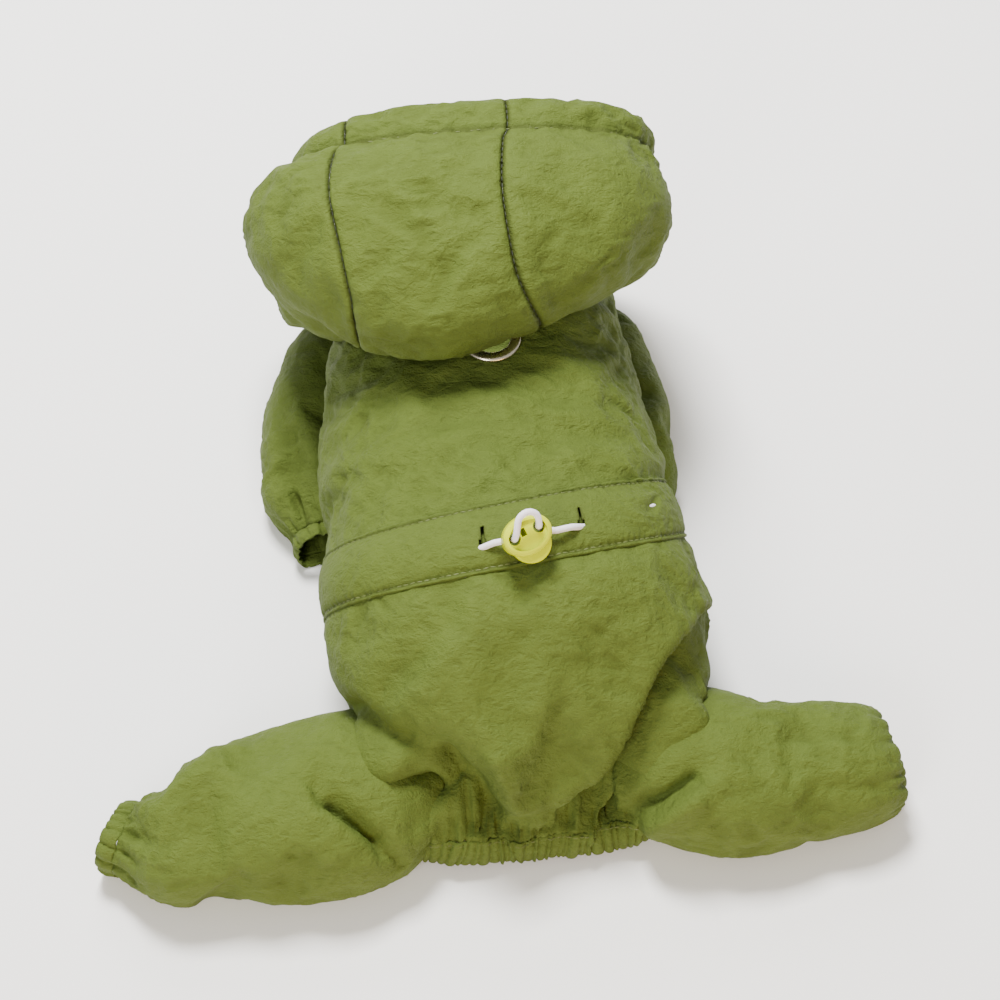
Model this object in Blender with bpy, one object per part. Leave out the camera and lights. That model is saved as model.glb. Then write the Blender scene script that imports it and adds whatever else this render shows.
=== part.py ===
"""Dog jumpsuit with a hood: a hollow garment that lies on its belly.

Lengths are in millimetres in the tables and functions, and MM turns them into metres when a mesh is made.
+Y runs from the tail to the hood, +Z is up, and the garment rests on z = 0.

Every cloth piece is a wall cut from one of a few surfaces: the body, the hood, the sleeves and the legs.
A surface gives a point for `turn`, the part of a whole turn round the ring, and `along`, the way from ring
to ring. Turn 0 is the top of the ring, turn 0.25 its +X side and turn 0.5 its underside.
"""
import math
from collections import namedtuple

import bmesh
import bpy
from mathutils import Matrix, Vector

for leftover in list(bpy.data.objects):
    bpy.data.objects.remove(leftover)

# Driving dimensions, in millimetres.
MM = 0.001
CLOTH = 1.5             # thickness of a cloth wall
SEAM_GAP = 0.3          # clear space between two pieces that are sewn together
SIDE_SEAM = 0.27        # turn of the seam between back and belly
TUNNEL_GAP = 0.5        # clear space between the tunnel's edges and the back
TUNNEL_WALL = 1.0
TUNNEL_SWELL = 3.6      # how far the cord's channel lifts the middle of the tunnel
FOOTPRINT_MIDDLE = (-10.75, -15.9, 0)    # becomes the origin, once all is made
SLIT_TURNS = {"slit_left": -0.0227, "slit_right": 0.0505}
SLIT_SHARE = 0.64       # place of the slits over the tunnel's width
SLIT_SIZE = (9.2, 8.4, 5.0)
CORD_DIAMETER = 2.6
LOCK_TURN, LOCK_SHARE = 0.0069, 0.736   # place of the cord lock over the tunnel
LOCK_LIFT = 9.5         # underside of the lock over the back panel
LOCK_LEAN, LOCK_TWIST = math.radians(30), math.radians(17)      # its face looks up and to the tail
LOCK_HALF = (10.0, 7.8)
LOCK_HEIGHT = 9.0
LOCK_HOLE_X, LOCK_HOLE_Y, LOCK_HOLE_RADIUS = 5.35, 1.0, 2.4
LOCK_MOUTH_RADIUS, LOCK_MOUTH_DEPTH = 3.5, 1.4      # the holes widen at the underside
THUMB_SLOT, THUMB_SLOT_Y = (2.2, 5.0, 4.0), 1.2     # sunk between the two cord holes
BUTTON_RADIUS = 8.0
BUTTON_HEIGHTS = (2.1, 6.3)
BUTTON_MIDDLE, BUTTON_BACK = -3.3, -3.1      # y of its round outline's middle and of its square end
EYELET_TURN, EYELET_ALONG = -0.003, 0.343
EYELET_BARREL = 8.0     # inner radius of the eyelet
EYELET_FLANGE = 12.0    # outer radius of its two flanges
EYELET_METAL = 0.8
EYELET_TOP, EYELET_BOTTOM = 0.4, -3.4    # inner faces of its flanges, from the cloth's outer face
HEM_TURN = 0.2          # the gathered hem spans this part of a turn to each side
HEM_LINES = (1.0015, 1.06)
HEM_PLEATS, HEM_PLEAT_DEPTH = 40, 1.0
CUFF_PLEAT_DEPTH = 0.8

# The folds are placed on a plane that faces the tail and the sky: `across` is x, and `rise` is measured
# up that plane, which leans back by this angle.
FOLD_PLANE_TILT = math.radians(55)

Section = namedtuple("Section", "name at top_y top_z base_y base_z centre left right wide upper lower "
                                "bow_left bow_right")
LimbRing = namedtuple("LimbRing", "name at x y z heading half_width half_height")
Fold = namedtuple("Fold", "name half_width height path")
SeamPlace = namedtuple("SeamPlace", "name at left_turn right_turn")

# Body rings. A ring hangs between its top point and its base point. centre is the x of both, left and right are
# half widths, wide is the height of the widest place as a share of the ring, upper and lower are the roundness
# of each half (2 is an ellipse), and a bow over 1 holds that side's lower part forward.
BODY = (
    Section("neck seam",  0.00,  108, 84,  113, 12, 0, 43, 41, 0.50, 2.0, 2.0, 1, 1),
    Section("collar",     0.06,   98, 92,  105,  3, 0, 54, 49, 0.50, 2.1, 1.9, 1, 1),
    Section("shoulder",   0.14,   80, 98,   92, -6, 0, 63, 55, 0.50, 2.2, 1.7, 1, 1),
    Section("chest",      0.26,   50, 101,  68, -6, 0, 68, 58, 0.50, 2.3, 1.5, 1, 1),
    Section("ribs",       0.38,   16, 101,  44, -6, 0, 73, 62, 0.50, 2.3, 1.5, 1, 1),
    Section("loin",       0.50,  -18, 101,  22, -6, 0, 75, 66, 0.50, 2.3, 1.5, 1, 1),
    Section("waist",      0.60,  -52, 101,   0, -6, 0, 74, 69, 0.50, 2.3, 1.6, 1, 1),
    Section("rump",       0.70,  -87, 99,  -22, -6, 0, 77, 76, 0.50, 2.3, 1.7, 1, 1),
    Section("croup",      0.78, -110, 89,  -44, -6, 0, 76, 79, 0.52, 2.3, 1.8, 1, 1),
    Section("seat",       0.86, -131, 69,  -68, -6, 0, 71, 76, 0.56, 2.4, 1.9, 1, 1),
    Section("under seat", 0.93, -149, 43,  -88, -6, 0, 63, 69, 0.60, 2.5, 2.0, 1, 1),
    Section("hem seam",   1.00, -162, 18, -104,  1, 0, 56, 54, 0.60, 2.8, 2.0, 1, 1),
    Section("hem edge",   1.06, -164,  4, -108,  1, 0, 56, 53, 0.60, 3.0, 2.0, 1, 1),
)

# Hood rings, hinged at the throat: from the neck seam back over the shoulders, round a fold and forward to the rim.
HOOD = (
    Section("neck seam",   0.00, 109.5, 86, 115, 12.0,   0, 44,  44, 0.50, 2.0, 2.0, 1.0, 1.0),
    Section("collar roll", 0.06,  102,  97, 118, 10.0,  -4, 50,  53, 0.52, 2.0, 2.0, 1.1, 1.1),
    Section("under layer", 0.16,   78, 105, 121,  8.4, -10, 53,  65, 0.56, 1.9, 2.0, 1.3, 1.4),
    Section("overhang",    0.27,   43, 107, 124,  6.9, -16, 57,  80, 0.60, 1.7, 2.0, 1.4, 1.9),
    Section("fold",        0.36,   16, 109, 127,  5.6, -22, 60,  93, 0.62, 1.5, 2.0, 1.4, 2.2),
    Section("fold top",    0.42,    9, 117, 129,  4.8, -22, 63,  95, 0.64, 1.6, 2.0, 1.4, 2.2),
    Section("back swell",  0.51,   12, 134, 132,  3.9, -20, 70,  95, 0.66, 1.9, 2.0, 1.5, 2.0),
    Section("crown",       0.62,   31, 149, 135,  3.0, -16, 83,  95, 0.68, 2.1, 2.0, 1.6, 1.8),
    Section("forehead",    0.75,   60, 158, 138,  2.2, -12, 88,  89, 0.70, 2.3, 2.0, 1.5, 1.5),
    Section("brow",        0.86,   87, 157, 141,  1.5,  -6, 85,  81, 0.71, 2.4, 2.0, 1.3, 1.3),
    Section("rim stitch",  0.91,   96, 153, 142,  1.2,  -2, 80,  76, 0.70, 2.5, 2.0, 1.2, 1.2),
    Section("rim",         1.00,  113, 152, 145,  1.0,   0, 75,  75, 0.70, 2.6, 2.0, 1.1, 1.1),
)

# Where the two seams of the hood's centre strip cross the rings.
HOOD_SEAMS = (
    SeamPlace("neck",  0.00, -0.100, 0.030),
    SeamPlace("fold",  0.38, -0.090, 0.062),
    SeamPlace("crown", 0.62, -0.088, 0.040),
    SeamPlace("rim",   1.00, -0.118, 0.024),
)

# The grid lines of the hood's panels, and half of the gap in a seam that runs from the neck to the rim or along
# the flank, as a part of a turn.
HOOD_LINES = (0, 0.04, 0.10, 0.18, 0.27, 0.35, 0.42, 0.50, 0.58, 0.67, 0.77, 0.87, 0.91, 1)
HALF_GAP_TURN = 0.0009

# Limb rings stand upright and face their heading, in degrees from +X towards +Y. Where a sleeve turns towards the
# tail its rings fan out from the armpit. The last two rings of each limb are its elastic casing.
SLEEVE_LEFT = (
    LimbRing("root",     0.00, -46.0,  81,  16, 180, 30.0, 19),
    LimbRing("shoulder", 0.18, -67.0,  74,  15, 205, 30.0, 21),
    LimbRing("bend",     0.33, -76.0,  58,  15, 230, 23.5, 22),
    LimbRing("upper",    0.48, -79.5,  43,  14, 255, 20.5, 23),
    LimbRing("swell",    0.62, -81.5,  28,  14, 268, 20.0, 23),
    LimbRing("lower",    0.78, -81.5,  13,  13, 272, 18.5, 20),
    LimbRing("gather",   0.90, -79.0,  -1,  11, 278, 14.0, 15),
    LimbRing("casing",   0.93, -78.0,  -5,  10, 280, 12.5, 13),
    LimbRing("opening",  1.00, -76.5, -11,  10, 282, 12.0, 13),
)
SLEEVE_RIGHT = (
    LimbRing("root",     0.00,  36.0,  82,  15,   0, 29.0, 18),
    LimbRing("shoulder", 0.18,  55.0,  73,  14, -25, 26.0, 20),
    LimbRing("bend",     0.33,  60.0,  57,  13, -50, 18.0, 20),
    LimbRing("upper",    0.48,  63.0,  43,  13, -75, 15.0, 20),
    LimbRing("swell",    0.62,  64.0,  29,  13, -88, 14.5, 20),
    LimbRing("lower",    0.78,  64.0,  12,  11, -92, 14.0, 18),
    LimbRing("gather",   0.90,  63.0,  -3,   9, -94, 11.0, 13),
    LimbRing("casing",   0.93,  63.0,  -7,   8, -94, 10.0, 12),
    LimbRing("opening",  1.00,  62.5, -13,   9, -94, 10.0, 12),
)
LEG_LEFT = (
    LimbRing("root",     0.00,  -36, -127, 18, 180, 27, 16),
    LimbRing("thigh",    0.12,  -56, -135, 20, 184, 34, 24),
    LimbRing("hip",      0.26,  -77, -140, 20, 184, 36, 27),
    LimbRing("upper",    0.42,  -99, -143, 20, 181, 34, 26),
    LimbRing("middle",   0.58, -120, -144, 19, 178, 31, 24),
    LimbRing("swell",    0.74, -140, -147, 17, 172, 28, 21),
    LimbRing("gather",   0.88, -156, -146, 13, 158, 18, 16),
    LimbRing("casing",   0.92, -160, -145, 12, 154, 15, 14),
    LimbRing("opening",  1.00, -167, -142, 12, 152, 14, 13),
)
LEG_RIGHT = (
    LimbRing("root",     0.00,   36, -124, 18,   0, 26, 16),
    LimbRing("thigh",    0.12,   56, -131, 20,  -3, 32, 24),
    LimbRing("hip",      0.28,   76, -137, 20,  -2, 33, 26),
    LimbRing("upper",    0.46,   94, -140, 19,   0, 30, 25),
    LimbRing("middle",   0.64,  111, -140, 18,   3, 27, 23),
    LimbRing("swell",    0.80,  129, -139, 17,   6, 25, 22),
    LimbRing("gather",   0.91,  141, -137, 14,  10, 20, 18),
    LimbRing("casing",   0.94,  144, -136, 13,  12, 14, 12),
    LimbRing("opening",  1.00,  149, -135, 12,  13, 12, 11),
)

# The largest folds: a trough has a height below zero. A path has (across, rise) pairs on the fold plane.
BODY_FOLDS = (
    Fold("long crease of the right hip",  11, -11, ((74, -42), (52, -57), (39, -82), (22, -102))),
    Fold("swell of the seat",             28,   6, ((-45, -48), (-20, -72), (8, -84))),
    Fold("swell of the right hip",        14,   9, ((66, -66), (56, -88), (40, -102))),
    Fold("valley over the left leg",       9, -12, ((-84, -96), (-56, -104), (-38, -101))),
    Fold("swell of the left hip",         10,   8, ((-74, -80), (-46, -90))),
    Fold("valley of the seat",            10,  -8, ((-36, -82), (-22, -102))),
    Fold("star fold over the hem",         8,   7, ((-49, -106), (-40, -117))),
    Fold("crease under the left flank",    8,  -5, ((-72, -62), (-45, -78))),
)
LEG_LEFT_FOLDS = (
    Fold("crease at the thigh",            8,  -5, ((-84, -98), (-61, -120))),
    Fold("ridge from the cuff",            7,   3, ((-156, -97), (-120, -84))),
)
LEG_RIGHT_FOLDS = (
    Fold("pleat at the thigh",             8,  -4, ((68, -97), (44, -112))),
    Fold("ridge at the thigh",             8,   4, ((70, -104), (46, -120))),
)
SLEEVE_FOLDS = (
    Fold("crease of the left sleeve",      5,  -4, ((-88, 58), (-88, 20), (-84, -4))),
)


def smooth_row(table, at):
    """Read a table between its rows, on a smooth curve through them."""
    at = min(max(at, table[0].at), table[-1].at)
    last = len(table) - 1
    low = max(index for index in range(last) if table[index].at <= at)
    before, start, end, after = (table[min(max(low + step, 0), last)] for step in (-1, 0, 1, 2))
    span = end.at - start.at
    share = (at - start.at) / span
    values = [start.name]
    for column in range(1, len(start)):
        first, second = start[column], end[column]
        slope_in = (second - before[column]) / (end.at - before.at) * span
        slope_out = (after[column] - first) / (after.at - start.at) * span
        values.append((2 * share ** 3 - 3 * share ** 2 + 1) * first
                      + (share ** 3 - 2 * share ** 2 + share) * slope_in
                      + (3 * share ** 2 - 2 * share ** 3) * second
                      + (share ** 3 - share ** 2) * slope_out)
    return start._make(values)


def ring_shape(turn, power):
    """Side and up of a rounded ring of size 1: power 2 is an ellipse, a larger one is boxier."""
    angle = math.tau * turn
    side, up = math.sin(angle), math.cos(angle)
    reach = (abs(side) ** power + abs(up) ** power) ** (-1 / power)
    return side * reach, up * reach


def section_point(table, turn, along):
    """A point of a ring that hangs between its top point and its base point."""
    row = smooth_row(table, along)
    side, up = ring_shape(turn, row.upper if math.cos(math.tau * turn) > 0 else row.lower)
    x = row.centre + side * (row.right if side > 0 else row.left)
    rise = row.wide + up * (1 - row.wide if up > 0 else row.wide)
    y = row.base_y + (row.top_y - row.base_y) * rise ** (row.bow_right if side > 0 else row.bow_left)
    z = row.base_z + (row.top_z - row.base_z) * rise
    return Vector((x, y, max(z, 0)))


def body_point(turn, along):
    return section_point(BODY, turn, along)


def hood_point(turn, along):
    return section_point(HOOD, turn, along)


def limb_surface(table):
    """The surface of a sleeve or a leg, which lies on the floor."""
    def point(turn, along):
        row = smooth_row(table, along)
        side, up = ring_shape(turn, 2.2)
        heading = math.radians(row.heading)
        x = row.x - math.sin(heading) * side * row.half_width
        y = row.y + math.cos(heading) * side * row.half_width
        return Vector((x, y, max(row.z + up * row.half_height, 0)))
    return point


def outward(surface, turn, along, facing):
    """The unit normal of a surface; facing is -1 where the cloth is turned over."""
    step = 0.004
    round_step = surface(turn + step, along) - surface(turn - step, along)
    long_step = surface(turn, along + step) - surface(turn, along - step)
    return long_step.cross(round_step).normalized() * facing


def distance_to_path(across, rise, path):
    best = math.inf
    for (x0, y0), (x1, y1) in zip(path, path[1:]):
        run_x, run_y = x1 - x0, y1 - y0
        share = ((across - x0) * run_x + (rise - y0) * run_y) / (run_x ** 2 + run_y ** 2)
        share = min(max(share, 0), 1)
        best = min(best, math.hypot(across - x0 - share * run_x, rise - y0 - share * run_y))
    return best


def fold_height(folds, spot, normal):
    """How far the folds lift the cloth at a point. They fade where the cloth turns away from their plane."""
    lean_y, lean_z = -math.cos(FOLD_PLANE_TILT), math.sin(FOLD_PLANE_TILT)
    facing = normal.y * lean_y + normal.z * lean_z
    fade = min(max((facing + 0.1) / 0.4, 0), 1)
    rise = spot.y * lean_z - spot.z * lean_y
    height = 0
    for fold in folds:
        gap = distance_to_path(spot.x, rise, fold.path)
        height += fold.height * math.exp(-(gap / fold.half_width) ** 2)
    return height * fade


def gathers(turn, count, depth, shift):
    """Uneven pleats round a ring that elastic draws in: narrow folds out, with wider and shallower ones between."""
    angle = math.tau * (turn * count + 0.35 * math.sin(math.tau * (3 * turn + shift)))
    swell = 0.75 + 0.25 * math.sin(math.tau * (5 * turn + 2 * shift))
    return depth * swell * math.cos(angle)


def new_object(name, mesh, material):
    piece = bpy.data.objects.new(name, mesh)
    bpy.context.collection.objects.link(piece)
    mesh.materials.append(material)
    piece.parent = garment
    return piece


def closed_mesh(name, model):
    """Turn a bmesh into a mesh with its faces out and its round places smooth."""
    bmesh.ops.remove_doubles(model, verts=list(model.verts), dist=1e-6)
    bmesh.ops.recalc_face_normals(model, faces=list(model.faces))
    mesh = bpy.data.meshes.new(name)
    model.to_mesh(mesh)
    model.free()
    mesh.shade_smooth()
    mesh.set_sharp_from_angle(angle=math.radians(50))
    return mesh


def lay_grid(columns, lines, place):
    """A grid whose vertices know their turn and along. place(column, line) gives both for a vertex."""
    model = bmesh.new()
    bmesh.ops.create_grid(model, x_segments=len(columns) - 1, y_segments=len(lines) - 1, size=0.5)
    turn_layer = model.verts.layers.float.new("turn")
    along_layer = model.verts.layers.float.new("along")
    for vert in model.verts:
        column = columns[round((vert.co.x + 0.5) * (len(columns) - 1))]
        line = lines[round((vert.co.y + 0.5) * (len(lines) - 1))]
        vert[turn_layer], vert[along_layer] = place(column, line)
    return model, turn_layer, along_layer


def straight(column, line):
    return column, line


def flat(turn, along):
    return 0


def cloth_wall(name, surface, columns, lines, facing=1, folds=(), lift=flat, place=straight,
               split='SHORT_EDGE'):
    """A closed cloth wall: a grid laid on a surface, extruded inwards by the wall's thickness.

    lift(turn, along) moves the cloth out from the surface, on top of the folds.
    """
    model, turn_layer, along_layer = lay_grid(columns, lines, place)

    def settle(verts, depth):
        for vert in verts:
            turn, along = vert[turn_layer], vert[along_layer]
            spot = surface(turn, along)
            normal = outward(surface, turn, along, facing)
            spot += normal * (fold_height(folds, spot, normal) + lift(turn, along) - depth)
            spot.z = max(spot.z, depth)
            vert.co = spot * MM

    settle(model.verts, 0)
    bmesh.ops.remove_doubles(model, verts=list(model.verts), dist=1e-6)
    bmesh.ops.triangulate(model, faces=list(model.faces), quad_method=split)
    outer = set(model.verts)
    bmesh.ops.extrude_face_region(model, geom=list(model.faces), use_keep_orig=True)
    settle([vert for vert in model.verts if vert not in outer], CLOTH)
    return new_object(name, closed_mesh(name, model), nylon)


def spread(start, end, cells):
    return [start + (end - start) * step / cells for step in range(cells + 1)]


def cut(piece, *cutters):
    for cutter in cutters:
        hole = piece.modifiers.new(cutter.name, "BOOLEAN")
        hole.operation = 'DIFFERENCE'
        hole.solver = 'EXACT'
        hole.object = cutter


def as_cutter(piece):
    piece.display_type = 'WIRE'
    piece.hide_render = True
    return piece


def make_material(name, colour, roughness, metallic=0.0):
    material = bpy.data.materials.new(name)
    material.use_nodes = True
    shader = material.node_tree.nodes["Principled BSDF"]
    shader.inputs["Base Color"].default_value = (*colour, 1)
    shader.inputs["Roughness"].default_value = roughness
    shader.inputs["Metallic"].default_value = metallic
    return material


def make_body():
    """Back, belly and rear hem."""
    lines = spread(0, 0.70, 10) + spread(0.70, 1, 12)[1:]
    back = cloth_wall("back_panel", body_point, spread(-SIDE_SEAM, SIDE_SEAM, 28), lines, folds=BODY_FOLDS)
    belly_edge = SIDE_SEAM + HALF_GAP_TURN
    belly = cloth_wall("belly_panel", body_point, spread(belly_edge, 1 - belly_edge, 10), spread(0, 1, 16))
    hem = cloth_wall("rear_hem_casing", body_point, spread(-HEM_TURN, HEM_TURN, 42), HEM_LINES,
                     lift=lambda turn, along: gathers(turn, HEM_PLEATS, HEM_PLEAT_DEPTH, 0.2))
    return back, belly, hem


def tunnel_place(turn, share):
    """The waist tunnel runs across the back, higher on the +X side; share is the way over its width."""
    return turn, 0.605 - 0.2 * turn + share * (0.09 + 0.15 * turn ** 2)


def tunnel_lift(turn, share):
    """How far the tunnel's outer face stands off the back: the cord's channel under its middle."""
    channel = math.sin(math.pi * share) ** 0.7 * (1 - (turn / SIDE_SEAM) ** 4)
    return TUNNEL_GAP + TUNNEL_WALL + TUNNEL_SWELL * channel


def back_point(turn, along, height):
    """A point over the back panel, its folds counted in."""
    spot = body_point(turn, along)
    normal = outward(body_point, turn, along, 1)
    return spot + normal * (fold_height(BODY_FOLDS, spot, normal) + height)


def surface_frame(turn, along, height):
    """A placed frame over the back, in metres: its X runs round the body and its Z points away from the cloth."""
    upward = outward(body_point, turn, along, 1)
    step = 0.01
    ahead, behind = (back_point(turn + side, along - 0.2 * side, height) for side in (step, -step))
    across = (ahead - behind).normalized()
    across = (across - upward * across.dot(upward)).normalized()
    frame = Matrix((across, upward.cross(across), upward)).transposed().to_4x4()
    frame.translation = back_point(turn, along, height) * MM
    return frame


def make_tunnel():
    """The strip over the back: its edges lie on the back and its middle stands clear of the cord."""
    model, turn_layer, along_layer = lay_grid(spread(-SIDE_SEAM, SIDE_SEAM, 27), spread(0, 1, 4), tunnel_place)
    outer = set(model.verts)
    bmesh.ops.extrude_face_region(model, geom=list(model.faces), use_keep_orig=True)
    for vert in model.verts:
        turn, along = vert[turn_layer], vert[along_layer]
        start, end = tunnel_place(turn, 0)[1], tunnel_place(turn, 1)[1]
        share = min(max((along - start) / (end - start), 0), 1)
        height = tunnel_lift(turn, share) - (0 if vert in outer else TUNNEL_WALL)
        vert.co = back_point(turn, along, height) * MM
    strip = new_object("waist_tunnel", closed_mesh("waist_tunnel", model), nylon)
    cut(strip, *(slit_cutter(name, turn) for name, turn in SLIT_TURNS.items()))


def slit_cutter(name, turn):
    """A short slit across the tunnel, where the cord comes out."""
    model = bmesh.new()
    bmesh.ops.create_cube(model, size=MM)
    bmesh.ops.scale(model, verts=model.verts, vec=SLIT_SIZE)
    slit = as_cutter(new_object(name, closed_mesh(name, model), nylon))
    slit.matrix_world = surface_frame(turn, tunnel_place(turn, SLIT_SHARE)[1], tunnel_lift(turn, SLIT_SHARE))
    return slit


def make_limb(name, table, casing_pleats, cells, folds):
    """A sleeve or a leg, its gathered casing, and the hidden cutter of its opening in the body."""
    surface = limb_surface(table)
    casing_at = table[-2].at
    cloth_wall(name, surface, spread(0, 1, 16), spread(0, casing_at - 0.006, cells), folds=folds, split='FIXED',
               lift=lambda turn, along: gathers(turn, 5, 0.6, 0.3) * max(0, (along - 0.6) / 0.3))
    cloth_wall(name + "_cuff", surface, spread(0, 1, 28), [casing_at, 1],
               lift=lambda turn, along: gathers(turn, casing_pleats, CUFF_PLEAT_DEPTH, 0.6))

    model, turn_layer, along_layer = lay_grid(spread(0, 1, 16), spread(0, casing_at - 0.006, cells), straight)
    for vert in model.verts:
        turn, along = vert[turn_layer], vert[along_layer]
        spot = surface(turn, along)
        normal = outward(surface, turn, along, 1)
        spot += normal * (fold_height(folds, spot, normal) + SEAM_GAP)
        if along == 0:
            spot += (surface(turn, 0) - surface(turn, 0.01)).normalized()
        vert.co = spot * MM
    bmesh.ops.remove_doubles(model, verts=list(model.verts), dist=1e-6)
    bmesh.ops.triangulate(model, faces=list(model.faces), quad_method='FIXED')
    bmesh.ops.holes_fill(model, edges=[edge for edge in model.edges if edge.is_boundary])
    bmesh.ops.triangulate(model, faces=[face for face in model.faces if len(face.verts) > 4])
    return as_cutter(new_object(name + "_opening", closed_mesh(name + "_opening", model), nylon))


def make_hood():
    """The hood's three panels, between the two seams of its centre strip."""
    def strip(share, along):
        seam = smooth_row(HOOD_SEAMS, along)
        return seam.left_turn + share * (seam.right_turn - seam.left_turn), along

    def right_side(share, along):
        start = smooth_row(HOOD_SEAMS, along).right_turn + HALF_GAP_TURN
        return start + share * (0.5 - HALF_GAP_TURN - start), along

    def left_side(share, along):
        start = smooth_row(HOOD_SEAMS, along).left_turn - HALF_GAP_TURN
        return start + share * (-0.5 + HALF_GAP_TURN - start), along

    cloth_wall("hood_centre", hood_point, spread(0, 1, 6), HOOD_LINES, facing=-1, place=strip)
    cloth_wall("hood_right", hood_point, spread(0, 1, 10), HOOD_LINES, facing=-1, place=right_side)
    cloth_wall("hood_left", hood_point, spread(0, 1, 10), HOOD_LINES, facing=-1, place=left_side)


def block(model, size, middle, radius=None):
    """A box, or with a radius a cylinder, of the given size and middle, in millimetres."""
    if radius is None:
        verts = bmesh.ops.create_cube(model, size=1)["verts"]
    else:
        verts = bmesh.ops.create_cone(model, cap_ends=True, segments=20, radius1=radius, radius2=radius,
                                      depth=1)["verts"]
    bmesh.ops.scale(model, verts=verts, vec=size)
    bmesh.ops.translate(model, verts=verts, vec=middle)


def placed(name, model, material, frame):
    """A hard piece, modelled in millimetres round its own origin and put in its frame."""
    bmesh.ops.scale(model, verts=list(model.verts), vec=(MM, MM, MM))
    piece = new_object(name, closed_mesh(name, model), material)
    piece.matrix_world = frame
    return piece


def disc(model, half_x, half_y, low, high, middle_y=0.0, segments=36):
    """An upright oval block."""
    verts = bmesh.ops.create_circle(model, cap_ends=True, segments=segments, radius=1)["verts"]
    bmesh.ops.scale(model, verts=verts, vec=(half_x, half_y, 1))
    bmesh.ops.translate(model, verts=verts, vec=(0, middle_y, low))
    lid = bmesh.ops.extrude_face_region(model, geom=model.faces[:], use_keep_orig=True)["geom"]
    bmesh.ops.translate(model, verts=[part for part in lid if isinstance(part, bmesh.types.BMVert)],
                        vec=(0, 0, high - low))


def round_edges(model, height, width, segments):
    """Bevel the rim that lies at one height."""
    edges = [edge for edge in model.edges
             if all(abs(vert.co.z - height) < 1e-3 for vert in edge.verts) and len(edge.link_faces) == 2]
    bmesh.ops.bevel(model, geom=edges, offset=width, segments=segments, profile=0.5, affect='EDGES', material=-1)


def make_lock(frame):
    """The two-hole cord lock and its push button, which slides in a pocket on the tail side."""
    body = bmesh.new()
    disc(body, *LOCK_HALF, 0, LOCK_HEIGHT)
    round_edges(body, LOCK_HEIGHT, 2.4, 3)
    round_edges(body, 0, 0.8, 1)
    lock = placed("cord_lock_body", body, yellow_plastic, frame)

    holes = bmesh.new()
    for side in (-1, 1):
        block(holes, (1, 1, 3 * LOCK_HEIGHT), (side * LOCK_HOLE_X, LOCK_HOLE_Y, 0), LOCK_HOLE_RADIUS)
    cord_holes = as_cutter(placed("cord_holes", holes, yellow_plastic, frame))
    mouths = bmesh.new()
    for side in (-1, 1):
        block(mouths, (1, 1, 2 * LOCK_MOUTH_DEPTH), (side * LOCK_HOLE_X, LOCK_HOLE_Y, 0), LOCK_MOUTH_RADIUS)
    cord_mouths = as_cutter(placed("cord_mouths", mouths, yellow_plastic, frame))
    slot = bmesh.new()
    block(slot, THUMB_SLOT, (0, THUMB_SLOT_Y, LOCK_HEIGHT))
    thumb_slot = as_cutter(placed("thumb_slot", slot, yellow_plastic, frame))

    low, high = BUTTON_HEIGHTS
    button = bmesh.new()
    button_outline(button, BUTTON_RADIUS, BUTTON_BACK, low, high, rounding=0.6)
    placed("cord_lock_button", button, yellow_plastic, frame)
    pocket = bmesh.new()
    button_outline(pocket, BUTTON_RADIUS + SEAM_GAP, BUTTON_BACK + SEAM_GAP, low - SEAM_GAP, high + SEAM_GAP)
    button_pocket = as_cutter(placed("button_pocket", pocket, yellow_plastic, frame))
    cut(lock, cord_holes, cord_mouths, thumb_slot, button_pocket)


def button_outline(model, radius, back_y, low, high, rounding=0.0):
    """A round block with its forward part cut off square."""
    disc(model, radius, radius, low, high, middle_y=BUTTON_MIDDLE)
    if rounding:
        round_edges(model, high, rounding, 1)
    cut_away = bmesh.ops.bisect_plane(model, geom=model.verts[:] + model.edges[:] + model.faces[:],
                                      plane_co=(0, back_y, 0), plane_no=(0, 1, 0), clear_outer=True)
    rim = [part for part in cut_away["geom_cut"] if isinstance(part, bmesh.types.BMEdge)]
    bmesh.ops.holes_fill(model, edges=rim)


def smooth_route(points, spacing):
    """Points every `spacing` along a smooth curve through the route's own points."""
    fine = []
    steps = 12
    last = len(points) - 1
    for index in range(last):
        before, start, end, after = (points[min(max(index + step, 0), last)] for step in (-1, 0, 1, 2))
        for step in range(steps):
            share = step / steps
            fine.append(0.5 * (2 * start + (end - before) * share
                               + (2 * before - 5 * start + 4 * end - after) * share ** 2
                               + (3 * start - before - 3 * end + after) * share ** 3))
    fine.append(points[-1])
    kept, run = [fine[0]], 0
    for previous, following in zip(fine, fine[1:]):
        run += (following - previous).length
        if run >= spacing:
            kept.append(following)
            run = 0
    kept[-1] = fine[-1]
    return kept


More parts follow.
